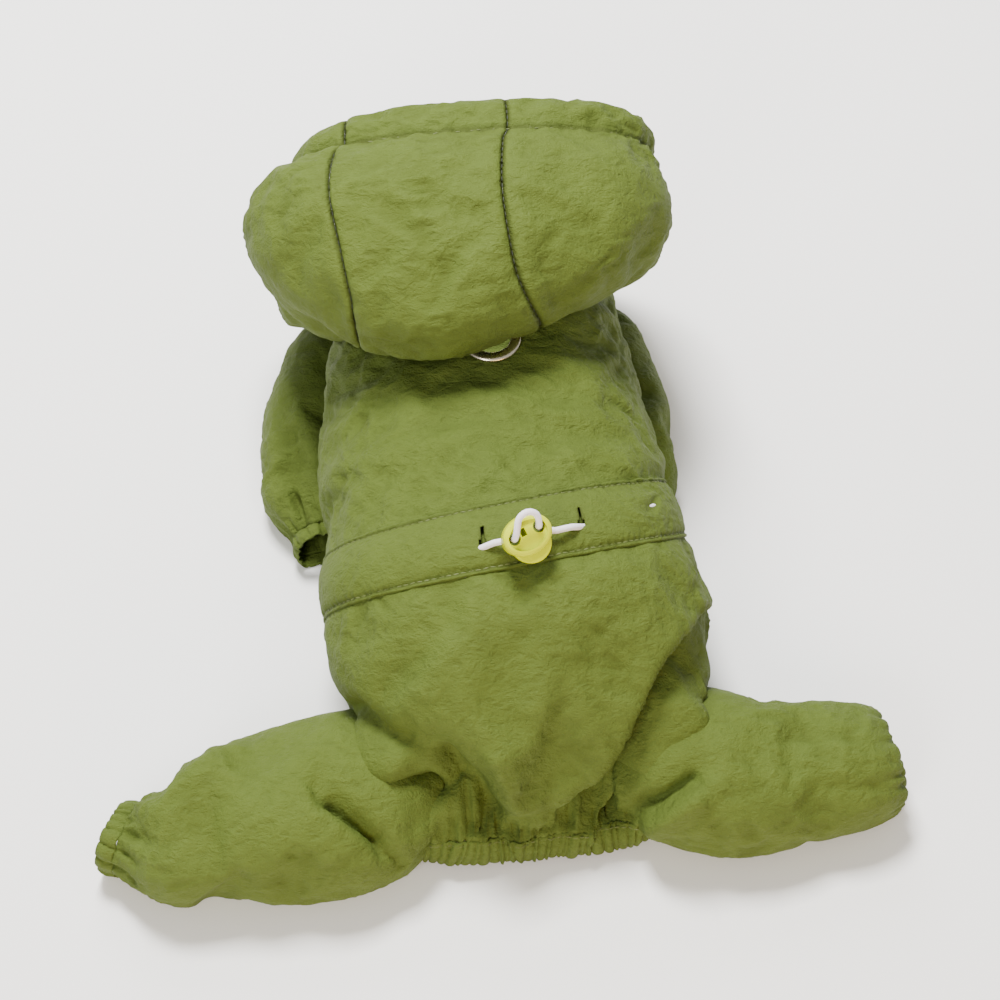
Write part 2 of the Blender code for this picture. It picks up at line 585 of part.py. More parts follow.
def make_drawcord(lock_frame):
    """The elastic cord: from the tunnel out of one slit, up through the lock, down again and into the other.

    hidden_left and hidden_right have turns, shares and heights in the tunnel; through is in the lock's frame.
    """
    hidden_left = ((-0.15, 0.50, 2.0), (-0.11, 0.50, 2.0), (-0.07, 0.55, 2.0), (-0.045, 0.61, 2.0))
    hidden_right = ((0.073, 0.60, 2.0), (0.11, 0.50, 2.0), (0.15, 0.50, 2.0))
    through = ((-20.2, 4.6, -9.2), (-18.7, 3.8, -8.9), (-17.1, 3.4, -7.9), (-12.0, 3.0, -4.1), (-10.7, 2.7, -3.3),
               (-8.5, 2.0, -2.4), (-6.8, 1.5, -1.2), (-5.7, 1.1, 0.5), (-5.35, 1.0, 2.5), (-5.35, 1.0, 7.0),
               (-5.1, 1.3, 8.9), (-4.5, 2.2, 10.6), (-3.6, 3.6, 11.8), (-1.8, 6.5, 13.3), (-0.7, 7.6, 13.9),
               (0.9, 8.2, 14.2), (2.5, 8.3, 14.3), (4.1, 7.8, 14.0), (5.3, 6.8, 13.5), (6.0, 5.4, 12.7),
               (6.0, 3.8, 11.9), (5.6, 2.3, 10.7), (5.4, 1.3, 9.1), (5.35, 1.0, 7.2), (5.35, 1.0, 3.2),
               (5.6, 0.8, 1.3), (6.4, 0.1, -0.4), (7.5, -1.0, -1.5), (8.9, -2.2, -2.1), (10.9, -3.8, -2.4),
               (12.2, -4.4, -2.8), (16.7, -5.7, -4.3), (18.9, -6.5, -5.6), (22.8, -8.6, -9.9),
               (24.0, -9.1, -10.9), (25.4, -9.4, -11.5))
    points = [back_point(turn, tunnel_place(turn, share)[1], height) * MM for turn, share, height in hidden_left]
    points += [lock_frame @ (Vector(spot) * MM) for spot in through]
    points += [back_point(turn, tunnel_place(turn, share)[1], height) * MM for turn, share, height in hidden_right]
    route = smooth_route(points, 1.2 * CORD_DIAMETER * MM)
    curve = bpy.data.curves.new("drawcord", 'CURVE')
    curve.dimensions = '3D'
    curve.bevel_depth = CORD_DIAMETER / 2 * MM
    curve.bevel_resolution = 2
    curve.use_fill_caps = True
    line = curve.splines.new('POLY')
    line.points.add(len(route) - 1)
    for place, spot in zip(line.points, route):
        place.co = (*spot, 1)
    cord = bpy.data.objects.new("drawcord", curve)
    bpy.context.collection.objects.link(cord)
    curve.materials.append(white_elastic)
    cord.parent = garment


def make_eyelet():
    """The metal eyelet, a barrel through the cloth with a flange on each side, and the hole that it sits in."""
    frame = surface_frame(EYELET_TURN, EYELET_ALONG, 0)
    ring = bmesh.new()
    high, low = EYELET_TOP + EYELET_METAL, EYELET_BOTTOM - EYELET_METAL
    neck = EYELET_BARREL + EYELET_METAL
    profile = [(EYELET_BARREL, high), (EYELET_FLANGE, high), (EYELET_FLANGE, EYELET_TOP), (neck, EYELET_TOP),
               (neck, EYELET_BOTTOM), (EYELET_FLANGE, EYELET_BOTTOM), (EYELET_FLANGE, low), (EYELET_BARREL, low)]
    verts = [ring.verts.new((radius, 0, height)) for radius, height in profile]
    edges = [ring.edges.new((start, end)) for start, end in zip(verts, verts[1:] + verts[:1])]
    bmesh.ops.spin(ring, geom=verts + edges, cent=(0, 0, 0), axis=(0, 0, 1), angle=math.tau, steps=32,
                   use_merge=True)
    placed("leash_eyelet", ring, steel, frame)
    hole = bmesh.new()
    block(hole, (1, 1, 20), (0, 0, 0), neck + SEAM_GAP)
    return as_cutter(placed("eyelet_hole", hole, steel, frame))


nylon = make_material("green_nylon", (0.24, 0.31, 0.09), 0.55)
yellow_plastic = make_material("yellow_plastic", (0.78, 0.83, 0.03), 0.35)
white_elastic = make_material("white_elastic", (0.80, 0.78, 0.80), 0.6)
steel = make_material("plated_steel", (0.62, 0.60, 0.56), 0.3, 1.0)
garment = bpy.data.objects.new("dog_jumpsuit", None)
bpy.context.collection.objects.link(garment)

back_panel, belly_panel, hem_casing = make_body()
make_tunnel()
make_hood()
openings = [
    make_limb("sleeve_left", SLEEVE_LEFT, 14, 7, SLEEVE_FOLDS),
    make_limb("sleeve_right", SLEEVE_RIGHT, 14, 7, ()),
    make_limb("leg_left", LEG_LEFT, 18, 8, LEG_LEFT_FOLDS),
    make_limb("leg_right", LEG_RIGHT, 18, 8, LEG_RIGHT_FOLDS),
]
for panel in (back_panel, belly_panel, hem_casing):
    cut(panel, *openings)
cut(back_panel, make_eyelet())
lock_frame = surface_frame(LOCK_TURN, tunnel_place(LOCK_TURN, LOCK_SHARE)[1], LOCK_LIFT)
lock_frame = lock_frame @ Matrix.Rotation(LOCK_LEAN, 4, 'X') @ Matrix.Rotation(LOCK_TWIST, 4, 'Z')
make_lock(lock_frame)
make_drawcord(lock_frame)
garment.location = -Vector(FOOTPRINT_MIDDLE) * MM
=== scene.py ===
"""Hooded dog jumpsuit of crinkled nylon, laid on its belly with the hood folded back.

Tables and surface functions are in millimetres in the garment's own frame: +Y runs from the tail to the hood and
+Z is up. to_scene turns them into metres in the frame's own axes.
"""
import math
import random
from collections import namedtuple

import bmesh
import bpy
import numpy as np
from mathutils import Matrix, Vector, noise


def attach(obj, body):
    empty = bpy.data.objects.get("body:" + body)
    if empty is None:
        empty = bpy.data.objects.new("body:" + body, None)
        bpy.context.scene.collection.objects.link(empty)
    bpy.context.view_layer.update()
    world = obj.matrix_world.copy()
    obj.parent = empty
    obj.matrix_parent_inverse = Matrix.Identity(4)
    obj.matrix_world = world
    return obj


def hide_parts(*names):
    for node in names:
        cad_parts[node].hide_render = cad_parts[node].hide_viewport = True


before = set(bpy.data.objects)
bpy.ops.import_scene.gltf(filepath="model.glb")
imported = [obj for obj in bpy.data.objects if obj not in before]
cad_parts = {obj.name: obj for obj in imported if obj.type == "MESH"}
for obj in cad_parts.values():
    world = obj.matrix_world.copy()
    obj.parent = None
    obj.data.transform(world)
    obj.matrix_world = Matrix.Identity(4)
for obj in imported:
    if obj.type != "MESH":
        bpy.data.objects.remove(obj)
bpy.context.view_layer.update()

bl_info = {
    "name": "Dog Jumpsuit",
    "version": (1, 0, 0),
    "blender": (4, 5, 0),
    "location": "3D View > Sidebar > Jumpsuit",
    "description": "Makes a hooded dog jumpsuit of crinkled nylon with a drawcord at the waist",
    "category": "Add Mesh",
}

MM = 0.001
SHIFT = np.array((10.75, 15.9, 0.0))
SIDE_SEAM = 0.27
FOLD_PLANE_TILT = math.radians(55)
PLANE_UP = np.array((0.0, math.sin(FOLD_PLANE_TILT), math.cos(FOLD_PLANE_TILT)))
PLANE_OUT = np.array((0.0, -math.cos(FOLD_PLANE_TILT), math.sin(FOLD_PLANE_TILT)))

Section = namedtuple("Section", "at top_y top_z base_y base_z centre left right wide upper lower bow_left bow_right")
LimbRing = namedtuple("LimbRing", "at x y z heading half_width half_height")
SeamPlace = namedtuple("SeamPlace", "at left_turn right_turn")
Crease = namedtuple("Crease", "name steep gentle height overhang path")

BODY = (
    Section(0.00,  108, 84,  113, 12, 0, 43, 41, 0.50, 2.0, 2.0, 1, 1),
    Section(0.06,   98, 92,  105,  3, 0, 54, 49, 0.50, 2.1, 1.9, 1, 1),
    Section(0.14,   80, 98,   92, -6, 0, 63, 55, 0.50, 2.2, 1.7, 1, 1),
    Section(0.26,   50, 101,  68, -6, 0, 68, 58, 0.50, 2.3, 1.5, 1, 1),
    Section(0.38,   16, 101,  44, -6, 0, 73, 62, 0.50, 2.3, 1.5, 1, 1),
    Section(0.50,  -18, 101,  22, -6, 0, 75, 66, 0.50, 2.3, 1.5, 1, 1),
    Section(0.60,  -52, 101,   0, -6, 0, 74, 69, 0.50, 2.3, 1.6, 1, 1),
    Section(0.70,  -87, 99,  -22, -6, 0, 77, 76, 0.50, 2.3, 1.7, 1, 1),
    Section(0.78, -110, 89,  -44, -6, 0, 76, 79, 0.52, 2.3, 1.8, 1, 1),
    Section(0.86, -131, 69,  -68, -6, 0, 71, 76, 0.56, 2.4, 1.9, 1, 1),
    Section(0.93, -149, 43,  -88, -6, 0, 63, 69, 0.60, 2.5, 2.0, 1, 1),
    Section(1.00, -162, 18, -104,  1, 0, 56, 54, 0.60, 2.8, 2.0, 1, 1),
    Section(1.06, -164,  4, -108,  1, 0, 56, 53, 0.60, 3.0, 2.0, 1, 1),
)
HOOD = (
    Section(0.00, 109.5, 86, 115, 12.0,   0, 44,  44, 0.50, 2.0, 2.0, 1.0, 1.0),
    Section(0.06,  102,  97, 118, 10.0,  -4, 50,  53, 0.52, 2.0, 2.0, 1.1, 1.1),
    Section(0.16,   78, 105, 121,  8.4, -10, 53,  65, 0.56, 1.9, 2.0, 1.3, 1.4),
    Section(0.27,   43, 107, 124,  6.9, -16, 57,  80, 0.60, 1.7, 2.0, 1.4, 1.9),
    Section(0.36,   16, 109, 127,  5.6, -22, 60,  93, 0.62, 1.5, 2.0, 1.4, 2.2),
    Section(0.42,    9, 117, 129,  4.8, -22, 63,  95, 0.64, 1.6, 2.0, 1.4, 2.2),
    Section(0.51,   12, 134, 132,  3.9, -20, 70,  95, 0.66, 1.9, 2.0, 1.5, 2.0),
    Section(0.62,   31, 149, 135,  3.0, -16, 83,  95, 0.68, 2.1, 2.0, 1.6, 1.8),
    Section(0.75,   60, 158, 138,  2.2, -12, 88,  89, 0.70, 2.3, 2.0, 1.5, 1.5),
    Section(0.86,   87, 157, 141,  1.5,  -6, 85,  81, 0.71, 2.4, 2.0, 1.3, 1.3),
    Section(0.91,   96, 153, 142,  1.2,  -2, 80,  76, 0.70, 2.5, 2.0, 1.2, 1.2),
    Section(1.00,  113, 152, 145,  1.0,   0, 75,  75, 0.70, 2.6, 2.0, 1.1, 1.1),
)
HOOD_SEAMS = (
    SeamPlace(0.00, -0.100, 0.030),
    SeamPlace(0.38, -0.099, 0.078),
    SeamPlace(0.62, -0.088, 0.040),
    SeamPlace(1.00, -0.118, 0.024),
)
RIM_STITCH = 0.91
PUFF, SUNK = 2.6, 1.5           # height of the gathered puffs, and how deep their valleys lie
SLEEVE_LEFT = (
    LimbRing(0.00, -46.0,  81,  16, 180, 30.0, 19),
    LimbRing(0.18, -67.0,  74,  15, 205, 30.0, 21),
    LimbRing(0.33, -76.0,  58,  15, 230, 23.5, 22),
    LimbRing(0.48, -79.5,  43,  14, 255, 20.5, 23),
    LimbRing(0.62, -81.5,  28,  14, 268, 20.0, 23),
    LimbRing(0.78, -81.5,  13,  13, 272, 18.5, 20),
    LimbRing(0.90, -79.0,  -1,  11, 278, 14.0, 15),
    LimbRing(0.93, -78.0,  -5,  10, 280, 12.5, 13),
    LimbRing(1.00, -76.5, -11,  10, 282, 12.0, 13),
)
SLEEVE_RIGHT = (
    LimbRing(0.00,  36.0,  82,  15,   0, 29.0, 18),
    LimbRing(0.18,  55.0,  73,  14, -25, 26.0, 20),
    LimbRing(0.33,  60.0,  57,  13, -50, 18.0, 20),
    LimbRing(0.48,  63.0,  43,  13, -75, 15.0, 20),
    LimbRing(0.62,  64.0,  29,  13, -88, 14.5, 20),
    LimbRing(0.78,  64.0,  12,  11, -92, 14.0, 18),
    LimbRing(0.90,  63.0,  -3,   9, -94, 11.0, 13),
    LimbRing(0.93,  63.0,  -7,   8, -94, 10.0, 12),
    LimbRing(1.00,  62.5, -13,   9, -94, 10.0, 12),
)
LEG_LEFT = (
    LimbRing(0.00,  -36, -127, 18, 180, 27, 16),
    LimbRing(0.12,  -56, -135, 20, 184, 34, 24),
    LimbRing(0.26,  -77, -140, 20, 184, 36, 27),
    LimbRing(0.42,  -99, -143, 20, 181, 34, 26),
    LimbRing(0.58, -120, -144, 19, 178, 31, 24),
    LimbRing(0.74, -140, -147, 17, 172, 28, 21),
    LimbRing(0.88, -156, -146, 13, 158, 18, 16),
    LimbRing(0.92, -160, -145, 12, 154, 15, 14),
    LimbRing(1.00, -167, -142, 12, 152, 14, 13),
)
LEG_RIGHT = (
    LimbRing(0.00,   36, -124, 18,   0, 26, 16),
    LimbRing(0.12,   56, -131, 20,  -3, 32, 24),
    LimbRing(0.28,   76, -137, 20,  -2, 33, 26),
    LimbRing(0.46,   94, -140, 19,   0, 30, 25),
    LimbRing(0.64,  111, -140, 18,   3, 27, 23),
    LimbRing(0.80,  129, -139, 17,   6, 25, 22),
    LimbRing(0.91,  141, -137, 14,  10, 20, 18),
    LimbRing(0.94,  144, -136, 13,  12, 14, 12),
    LimbRing(1.00,  149, -135, 12,  13, 12, 11),
)

# Creases lie on a plane that faces the tail and the sky: a path has (across, rise) pairs. Left of the path the
# crease falls off within `steep`, right of it within `gentle`; `overhang` pushes the steep side over the trough.
BODY_CREASES = (
    Crease("right hip edge", 4, 17, -16, 6.0,
           ((11, -112), (20, -104), (31, -94), (39, -82), (45, -70), (52, -57), (62, -46), (76, -38))),
    Crease("right seat lobe", 3, 8, -11, 4.0,
           ((27, -121), (33, -114), (40, -107), (51, -104), (60, -98), (66, -92), (70, -84), (72, -73))),
    Crease("right hem ridge", 4, 4, 6, 0, ((41, -123), (44, -118), (56, -108), (69, -100))),
    Crease("swell of the seat", 26, 26, 6, 0, ((-45, -48), (-20, -72), (8, -84))),
    Crease("swell of the right hip", 14, 14, 8, 0, ((66, -66), (56, -88), (40, -102))),
    Crease("valley over the left leg", 4, 9, -16, 5.5, ((-36, -102), (-56, -104), (-71, -100), (-84, -96))),
    Crease("swell of the left hip", 9, 9, 9, 0, ((-74, -80), (-46, -90))),
    Crease("valley of the seat", 9, 5, -11, 3.0, ((-13, -118), (-24, -97), (-36, -78))),
    Crease("ridge of the seat", 5, 8, 6, 0, ((-2, -112), (-10, -92), (-16, -76))),
    Crease("star fold", 4, 4, 8, 0, ((-50, -102), (-40, -117))),
    Crease("star arm", 3, 3, 5, 0, ((-49, -103), (-56, -112))),
    Crease("left flank crease", 4, 6, -6, 2.0, ((-43, -80), (-57, -73), (-72, -62))),
)
LEG_LEFT_CREASES = (
    Crease("thigh lip", 3, 6, -9, 3.0, ((-61, -121), (-72, -109), (-84, -98))),
    Crease("ridge from the cuff", 4, 7, 5, 0, ((-158, -102), (-138, -92), (-117, -79))),
)
LEG_RIGHT_CREASES = (
    Crease("thigh pleat", 4, 6, -7, 2.0, ((44, -112), (68, -97))),
    Crease("thigh ridge", 5, 6, 6, 0, ((46, -120), (70, -104))),
)
SLEEVE_CREASES = (
    Crease("left sleeve", 5, 5, -4, 0, ((-88, 58), (-88, 20), (-84, -4))),
)


# ---- Surfaces: every one takes arrays of turn and along and gives an array of points.

def smooth_rows(table, at):
    """Read a table at many places, on smooth curves through its rows."""
    rows = np.array(table, float)
    at = np.clip(at, rows[0, 0], rows[-1, 0])
    last = len(rows) - 1
    low = np.clip(np.searchsorted(rows[:, 0], at, side="right") - 1, 0, last - 1)
    before, start, end, after = (rows[np.clip(low + step, 0, last)] for step in (-1, 0, 1, 2))
    span = (end[..., 0] - start[..., 0])[..., None]
    share = (at[..., None] - start[..., :1]) / span
    slope_in = (end - before) / (end[..., :1] - before[..., :1]) * span
    slope_out = (after - start) / (after[..., :1] - start[..., :1]) * span
    values = ((2 * share ** 3 - 3 * share ** 2 + 1) * start + (share ** 3 - 2 * share ** 2 + share) * slope_in
              + (3 * share ** 2 - 2 * share ** 3) * end + (share ** 3 - share ** 2) * slope_out)
    return type(table[0])._make(np.moveaxis(values, -1, 0))


def ring_shape(turn, power):
    angle = math.tau * turn
    side, up = np.sin(angle), np.cos(angle)
    reach = (np.abs(side) ** power + np.abs(up) ** power) ** (-1 / power)
    return side * reach, up * reach


def section_surface(table):
    """The surface of the body or the hood: rings that hang between a top point and a base point."""
    def point(turn, along):
        row = smooth_rows(table, along)
        side, up = ring_shape(turn, np.where(np.cos(math.tau * turn) > 0, row.upper, row.lower))
        rise = row.wide + up * np.where(up > 0, 1 - row.wide, row.wide)
        bow = np.where(side > 0, row.bow_right, row.bow_left)
        x = row.centre + side * np.where(side > 0, row.right, row.left)
        y = row.base_y + (row.top_y - row.base_y) * np.maximum(rise, 0) ** bow
        z = row.base_z + (row.top_z - row.base_z) * rise
        return np.stack((x, y, np.maximum(z, 0)), -1)
    return point


def limb_surface(table):
    """The surface of a sleeve or a leg: upright rings that lie on the floor."""
    def point(turn, along):
        row = smooth_rows(table, along)
        side, up = ring_shape(turn, 2.2)
        heading = np.radians(row.heading)
        return np.stack((row.x - np.sin(heading) * side * row.half_width,
                         row.y + np.cos(heading) * side * row.half_width,
                         np.maximum(row.z + up * row.half_height, 0)), -1)
    return point


def unit(vectors):
    return vectors / np.maximum(np.linalg.norm(vectors, axis=-1, keepdims=True), 1e-9)


def outward(surface, turn, along, facing, step=0.003):
    round_step = surface(turn + step, along) - surface(turn - step, along)
    long_step = surface(turn, along + step) - surface(turn, along - step)
    return unit(np.cross(long_step, round_step)) * facing


def along_path(across, rise, path):
    """Signed distance from a path, positive on its left, and the share of the way along it."""
    path = np.array(path, float)
    lengths = np.linalg.norm(np.diff(path, axis=0), axis=1)
    walked = np.concatenate(([0], np.cumsum(lengths)))
    best = np.full(across.shape, np.inf)
    signed, share = np.zeros(across.shape), np.zeros(across.shape)
    for index, (start, end) in enumerate(zip(path, path[1:])):
        run = end - start
        way = ((across - start[0]) * run[0] + (rise - start[1]) * run[1]) / (run @ run)
        way = np.clip(way, 0, 1)
        gap_x, gap_y = across - start[0] - way * run[0], rise - start[1] - way * run[1]
        gap = np.hypot(gap_x, gap_y)
        nearer = gap < best
        side = np.where(run[0] * gap_y - run[1] * gap_x >= 0, 1.0, -1.0)
        best = np.where(nearer, gap, best)
        signed = np.where(nearer, gap * side, signed)
        share = np.where(nearer, (walked[index] + way * lengths[index]) / walked[-1], share)
    return signed, share


def creased(spots, normals, creases):
    """How far the creases move each point."""
    fade = np.clip((normals @ PLANE_OUT + 0.1) / 0.4, 0, 1)
    across, rise = spots[..., 0], spots @ PLANE_UP
    height = np.zeros(across.shape)
    slide = np.zeros(spots.shape)
    for crease in creases:
        gap, share = along_path(across, rise, crease.path)
        width = np.where(gap > 0, crease.steep, crease.gentle)
        ends = np.clip(np.minimum(share, 1 - share) / 0.18, 0, 1)
        ends = 0.35 + 0.65 * ends * ends * (3 - 2 * ends)
        height += crease.height * ends * np.exp(-(gap / width) ** 2)
        if crease.overhang:
            path = np.array(crease.path, float)
            run = unit(path[-1] - path[0])
            over = crease.overhang * ends * np.exp(-((gap - 1.3 * crease.steep) / crease.steep) ** 2)
            slide += over[..., None] * (run[1] * np.array((1.0, 0, 0)) - run[0] * PLANE_UP)
    return normals * (height * fade)[..., None] + slide * fade[..., None]


def crumple(spots, height):
    """Heights of the sharp fine creases of crumpled nylon, the same wherever pieces meet."""
    heights = []
    for x, y, z in spots.reshape(-1, 3).tolist():
        place = Vector((0.72 * x, y, z))
        drift = noise.noise_vector(place / 15) * 7
        facets = 0.55 - noise.voronoi((place + drift) / 9)[0][0]
        middle = 0.25 - abs(noise.noise((place + drift) / 9.5 + Vector((7, 3, 1)))) * 2
        fine = 0.25 - abs(noise.noise((place + drift * 1.6) / 4.6 + Vector((2, 9, 5)))) * 2
        patch = 0.35 + max(0.0, noise.noise(place / 30 + Vector((5, 5, 8))) + 0.3)
        heights.append(facets * 0.35 + (middle * 0.7 + fine * 0.45) * patch)
    return np.array(heights).reshape(spots.shape[:-1]) * height


def gather_lines(seed, start, end, count):
    """Uneven places of the valleys of a gathered edge, and how deep each is."""
    chance = random.Random(seed)
    gaps = np.array([chance.uniform(0.45, 1.55) for _ in range(count)])
    places = start + (end - start) * np.concatenate(([0], np.cumsum(gaps) / gaps.sum()))
    return places, np.array([chance.uniform(0.55, 1.0) for _ in places])


def puffs(turn, lines, depths):
    """Rounded puffs between the narrow valleys of a gathered edge: 0 in a valley and up to 1 on a puff."""
    turn = (turn - lines[0]) % (lines[-1] - lines[0]) + lines[0]
    index = np.clip(np.searchsorted(lines, turn) - 1, 0, len(lines) - 2)
    phase = (turn - lines[index]) / (lines[index + 1] - lines[index])
    return (4 * np.clip(phase * (1 - phase), 0, 0.25)) ** 0.35 * depths[index]


def pleats_above(turn, reach, lines, depths, width, seed):
    """Folds that run from a gathered edge into the cloth above it, some short and some long, spreading as they go."""
    chance = random.Random(seed)
    height = np.zeros(np.broadcast(turn, reach).shape)
    for line, depth in zip(lines[:-1], depths):
        length = chance.choice((6, 9, 13, 20, 32))
        sway = chance.uniform(-0.5, 0.5) * width
        spread = width * (0.22 + reach / 42)
        gap = (turn - line - sway * reach / 12 + 0.5) % 1 - 0.5
        height -= depth * np.exp(-(gap / spread) ** 2) * np.exp(-(reach / length) ** 1.3)
    return height


def to_scene(spots):
    return (spots + SHIFT) * MM


# ---- Meshes

def add_piece(name, mesh, body="root"):
    piece = bpy.data.objects.new(name, mesh)
    bpy.context.scene.collection.objects.link(piece)
    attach(piece, body)
    return piece


Feel = namedtuple("Feel", "swell hold stiffness gain cap")
SIM_SCALE = 0.05        # units of the simulation for a millimetre of cloth
SIM_STEP = 2.3          # millimetres between its points
SIM_FRAMES = 20


def rumple(shape, turns, alongs, facing, feel, sewn=None, free=()):
    """Let a piece of cloth that is cut too wide for its place buckle there, and give how far each point moves.

    The cloth is a coarse grid. It is `feel.swell` wider than its place, each point is held to its place by a weak
    spring, the edges that aren't in `free` are sewn down, and so are the places where sewn(turn, along) is 1.
    The result is (moves, turns, alongs).
    """
    grid = shape(*np.meshgrid(turns, alongs))
    normals = outward(shape, *np.meshgrid(turns, alongs), facing, 0.003)
    model = bmesh.new()
    bmesh.ops.create_grid(model, x_segments=len(turns) - 1, y_segments=len(alongs) - 1, size=0.5)
    mesh = bpy.data.meshes.new("buckling cloth")
    model.to_mesh(mesh)
    model.free()
    chance = np.random.default_rng(3)
    start = grid + normals * chance.normal(0, 0.15, grid.shape[:2])[..., None]
    mesh.vertices.foreach_set("co", (start * SIM_SCALE).ravel())
    cloth = bpy.data.objects.new("buckling cloth", mesh)
    bpy.context.scene.collection.objects.link(cloth)
    patches = np.array([noise.noise(Vector(spot) / 32) for spot in grid.reshape(-1, 3).tolist()])
    hold = np.clip(feel.hold * np.exp(1.3 * patches.reshape(grid.shape[:2])), 0.02, 0.9)
    if sewn is not None:
        hold = np.maximum(hold, sewn(*np.meshgrid(turns, alongs)))
    for edge, rows in (("start", np.s_[0, :]), ("end", np.s_[-1, :]), ("left", np.s_[:, 0]), ("right", np.s_[:, -1])):
        if edge not in free:
            hold[rows] = 1
    group = cloth.vertex_groups.new(name="hold")
    for index, weight in enumerate(hold.ravel()):
        group.add([index], float(weight), 'REPLACE')
    buckle = cloth.modifiers.new("buckle", 'CLOTH')
    fabric = buckle.settings
    fabric.quality, fabric.mass, fabric.air_damping = 5, 0.15, 4
    fabric.tension_stiffness = fabric.compression_stiffness = 15
    fabric.shear_stiffness, fabric.bending_stiffness = 6, feel.stiffness
    fabric.vertex_group_mass, fabric.shrink_min = "hold", -feel.swell
    fabric.effector_weights.gravity = 0
    buckle.collision_settings.use_collision = False
    scene = bpy.context.scene
    buckle.point_cache.frame_end = SIM_FRAMES
    for number in range(1, SIM_FRAMES + 1):
        scene.frame_set(number)
    settled = np.empty(grid.size)
    cloth.evaluated_get(bpy.context.evaluated_depsgraph_get()).data.vertices.foreach_get("co", settled)
    scene.frame_set(1)
    bpy.data.objects.remove(cloth)
    moved = settled.reshape(grid.shape) / SIM_SCALE - grid
    for axis in (0, 1):
        inner = (moved.take(range(0, moved.shape[axis] - 2), axis) + moved.take(range(2, moved.shape[axis]), axis)
                 + 2 * moved.take(range(1, moved.shape[axis] - 1), axis)) / 4
        if axis == 0:
            moved[1:-1] = inner
        else:
            moved[:, 1:-1] = inner
    size = np.linalg.norm(moved, axis=2, keepdims=True)
    return moved * feel.cap * np.tanh(feel.gain * size / feel.cap) / np.maximum(size, 1e-6), turns, alongs


def finer(grid, across, down):
    """Read a grid between its points on smooth curves: across and down are places in its rows and columns."""
    for axis, places in ((0, down), (1, across)):
        last = grid.shape[axis] - 1
        low = np.clip(np.floor(places).astype(int), 0, last - 1)
        share = (places - low).reshape([-1 if number == axis else 1 for number in range(grid.ndim)])
        before, start, end, after = (grid.take(np.clip(low + step, 0, last), axis) for step in (-1, 0, 1, 2))
        grid = 0.5 * (2 * start + (end - before) * share + (2 * before - 5 * start + 4 * end - after) * share ** 2
                      + (3 * start - before - 3 * end + after) * share ** 3)
    return grid


def even(start, end, size, step=SIM_STEP):
    return np.linspace(start, end, max(int(round(size / step)), 3) + 1)


def lay_cloth(name, shape, turns, alongs, facing, crinkle, closed=False, drop=None, seam=None, moved=None):
    """A cloth piece: a grid laid on a shape, crinkled, and given its thickness by Solidify.

    moved holds how far the buckled cloth is from the shape, drop(spots, turn, along) marks the points to leave out,
    and seam(turn, along) is 1 on a seam and 0 away from it.
    """
    sizes = bpy.context.scene.jumpsuit_sizes
    model = bmesh.new()
    bmesh.ops.create_grid(model, x_segments=len(turns) - 1, y_segments=len(alongs) - 1, size=0.5, calc_uvs=False)
    mesh = bpy.data.meshes.new(name)
    model.to_mesh(mesh)
    model.free()
    turn, along = (values.ravel() for values in np.meshgrid(turns, alongs))
    smooth = shape(turn, along)
    normals = outward(shape, turn, along, facing, 0.0015)
    relief = crumple(smooth, crinkle)
    marks = seam(turn, along) if seam else np.zeros(len(turn))
    spots = smooth + normals * (relief * (1 - 0.6 * marks))[:, None]
    if moved is not None:
        places = [np.interp(values, coarse, np.arange(len(coarse)))
                  for values, coarse in ((turns, moved[1]), (alongs, moved[2]))]
        shift = finer(moved[0], *places).reshape(-1, 3)
        spots += shift
        # The buckle's outward move also raises the relief, which paints shade into the dents in the nylon's colour
        relief = relief + 0.12 * (shift * normals).sum(-1)
    spots[:, 2] = np.maximum(spots[:, 2], 0.05)
    mesh.vertices.foreach_set("co", to_scene(spots).ravel())
    # relief and seam feed the nylon's colour: painted highlight on raised creases, painted shade in troughs, seam
    # grooves and slit mouths
    for label, values in (("relief", relief), ("seam", marks)):
        layer = mesh.attributes.new(label, 'FLOAT', 'POINT')
        layer.data.foreach_set("value", values.astype(np.float32))
    model = bmesh.new()
    model.from_mesh(mesh)
    model.verts.ensure_lookup_table()
    if drop is not None:
        gone = drop(spots, turn, along)
        bmesh.ops.delete(model, geom=[vert for vert in model.verts if gone[vert.index]], context='VERTS')
    if closed:
        bmesh.ops.remove_doubles(model, verts=model.verts[:], dist=2e-6)
    model.faces.ensure_lookup_table()
    model.normal_update()
    middle = model.faces[len(model.faces) // 2]
    near = np.argmin(((to_scene(spots) - np.array(middle.calc_center_median())) ** 2).sum(1))
    if middle.normal.dot(Vector(normals[near])) < 0:
        bmesh.ops.reverse_faces(model, faces=model.faces[:])
    model.to_mesh(mesh)
    model.free()
    mesh.shade_smooth()
    piece = add_piece(name, mesh)
    wall = piece.modifiers.new("cloth thickness", 'SOLIDIFY')
    wall.thickness = sizes.cloth_thickness
    wall.offset = -1
    mesh.materials.append(bpy.data.materials["green nylon"])
    grid = smooth.reshape(len(alongs), len(turns), 3)
    across = np.linalg.norm(np.diff(grid, axis=1), axis=2).sum(1)
    length = np.linalg.norm(np.diff(grid, axis=0), axis=2).sum(0)
    cells = np.linalg.norm(np.cross(np.diff(grid, axis=1)[:-1], np.diff(grid, axis=0)[:, :-1]), axis=2)
    flat_size = (across.max() * MM, length.max() * MM)
    area = min(cells.sum() * MM * MM, flat_size[0] * flat_size[1])
    return piece, flat_size, area


def steps(start, end, size, step):
    """Even values from start to end, whose points lie about a step apart on a piece that is `size` long."""
    return np.linspace(start, end, max(int(round(size / step)), 2) + 1)


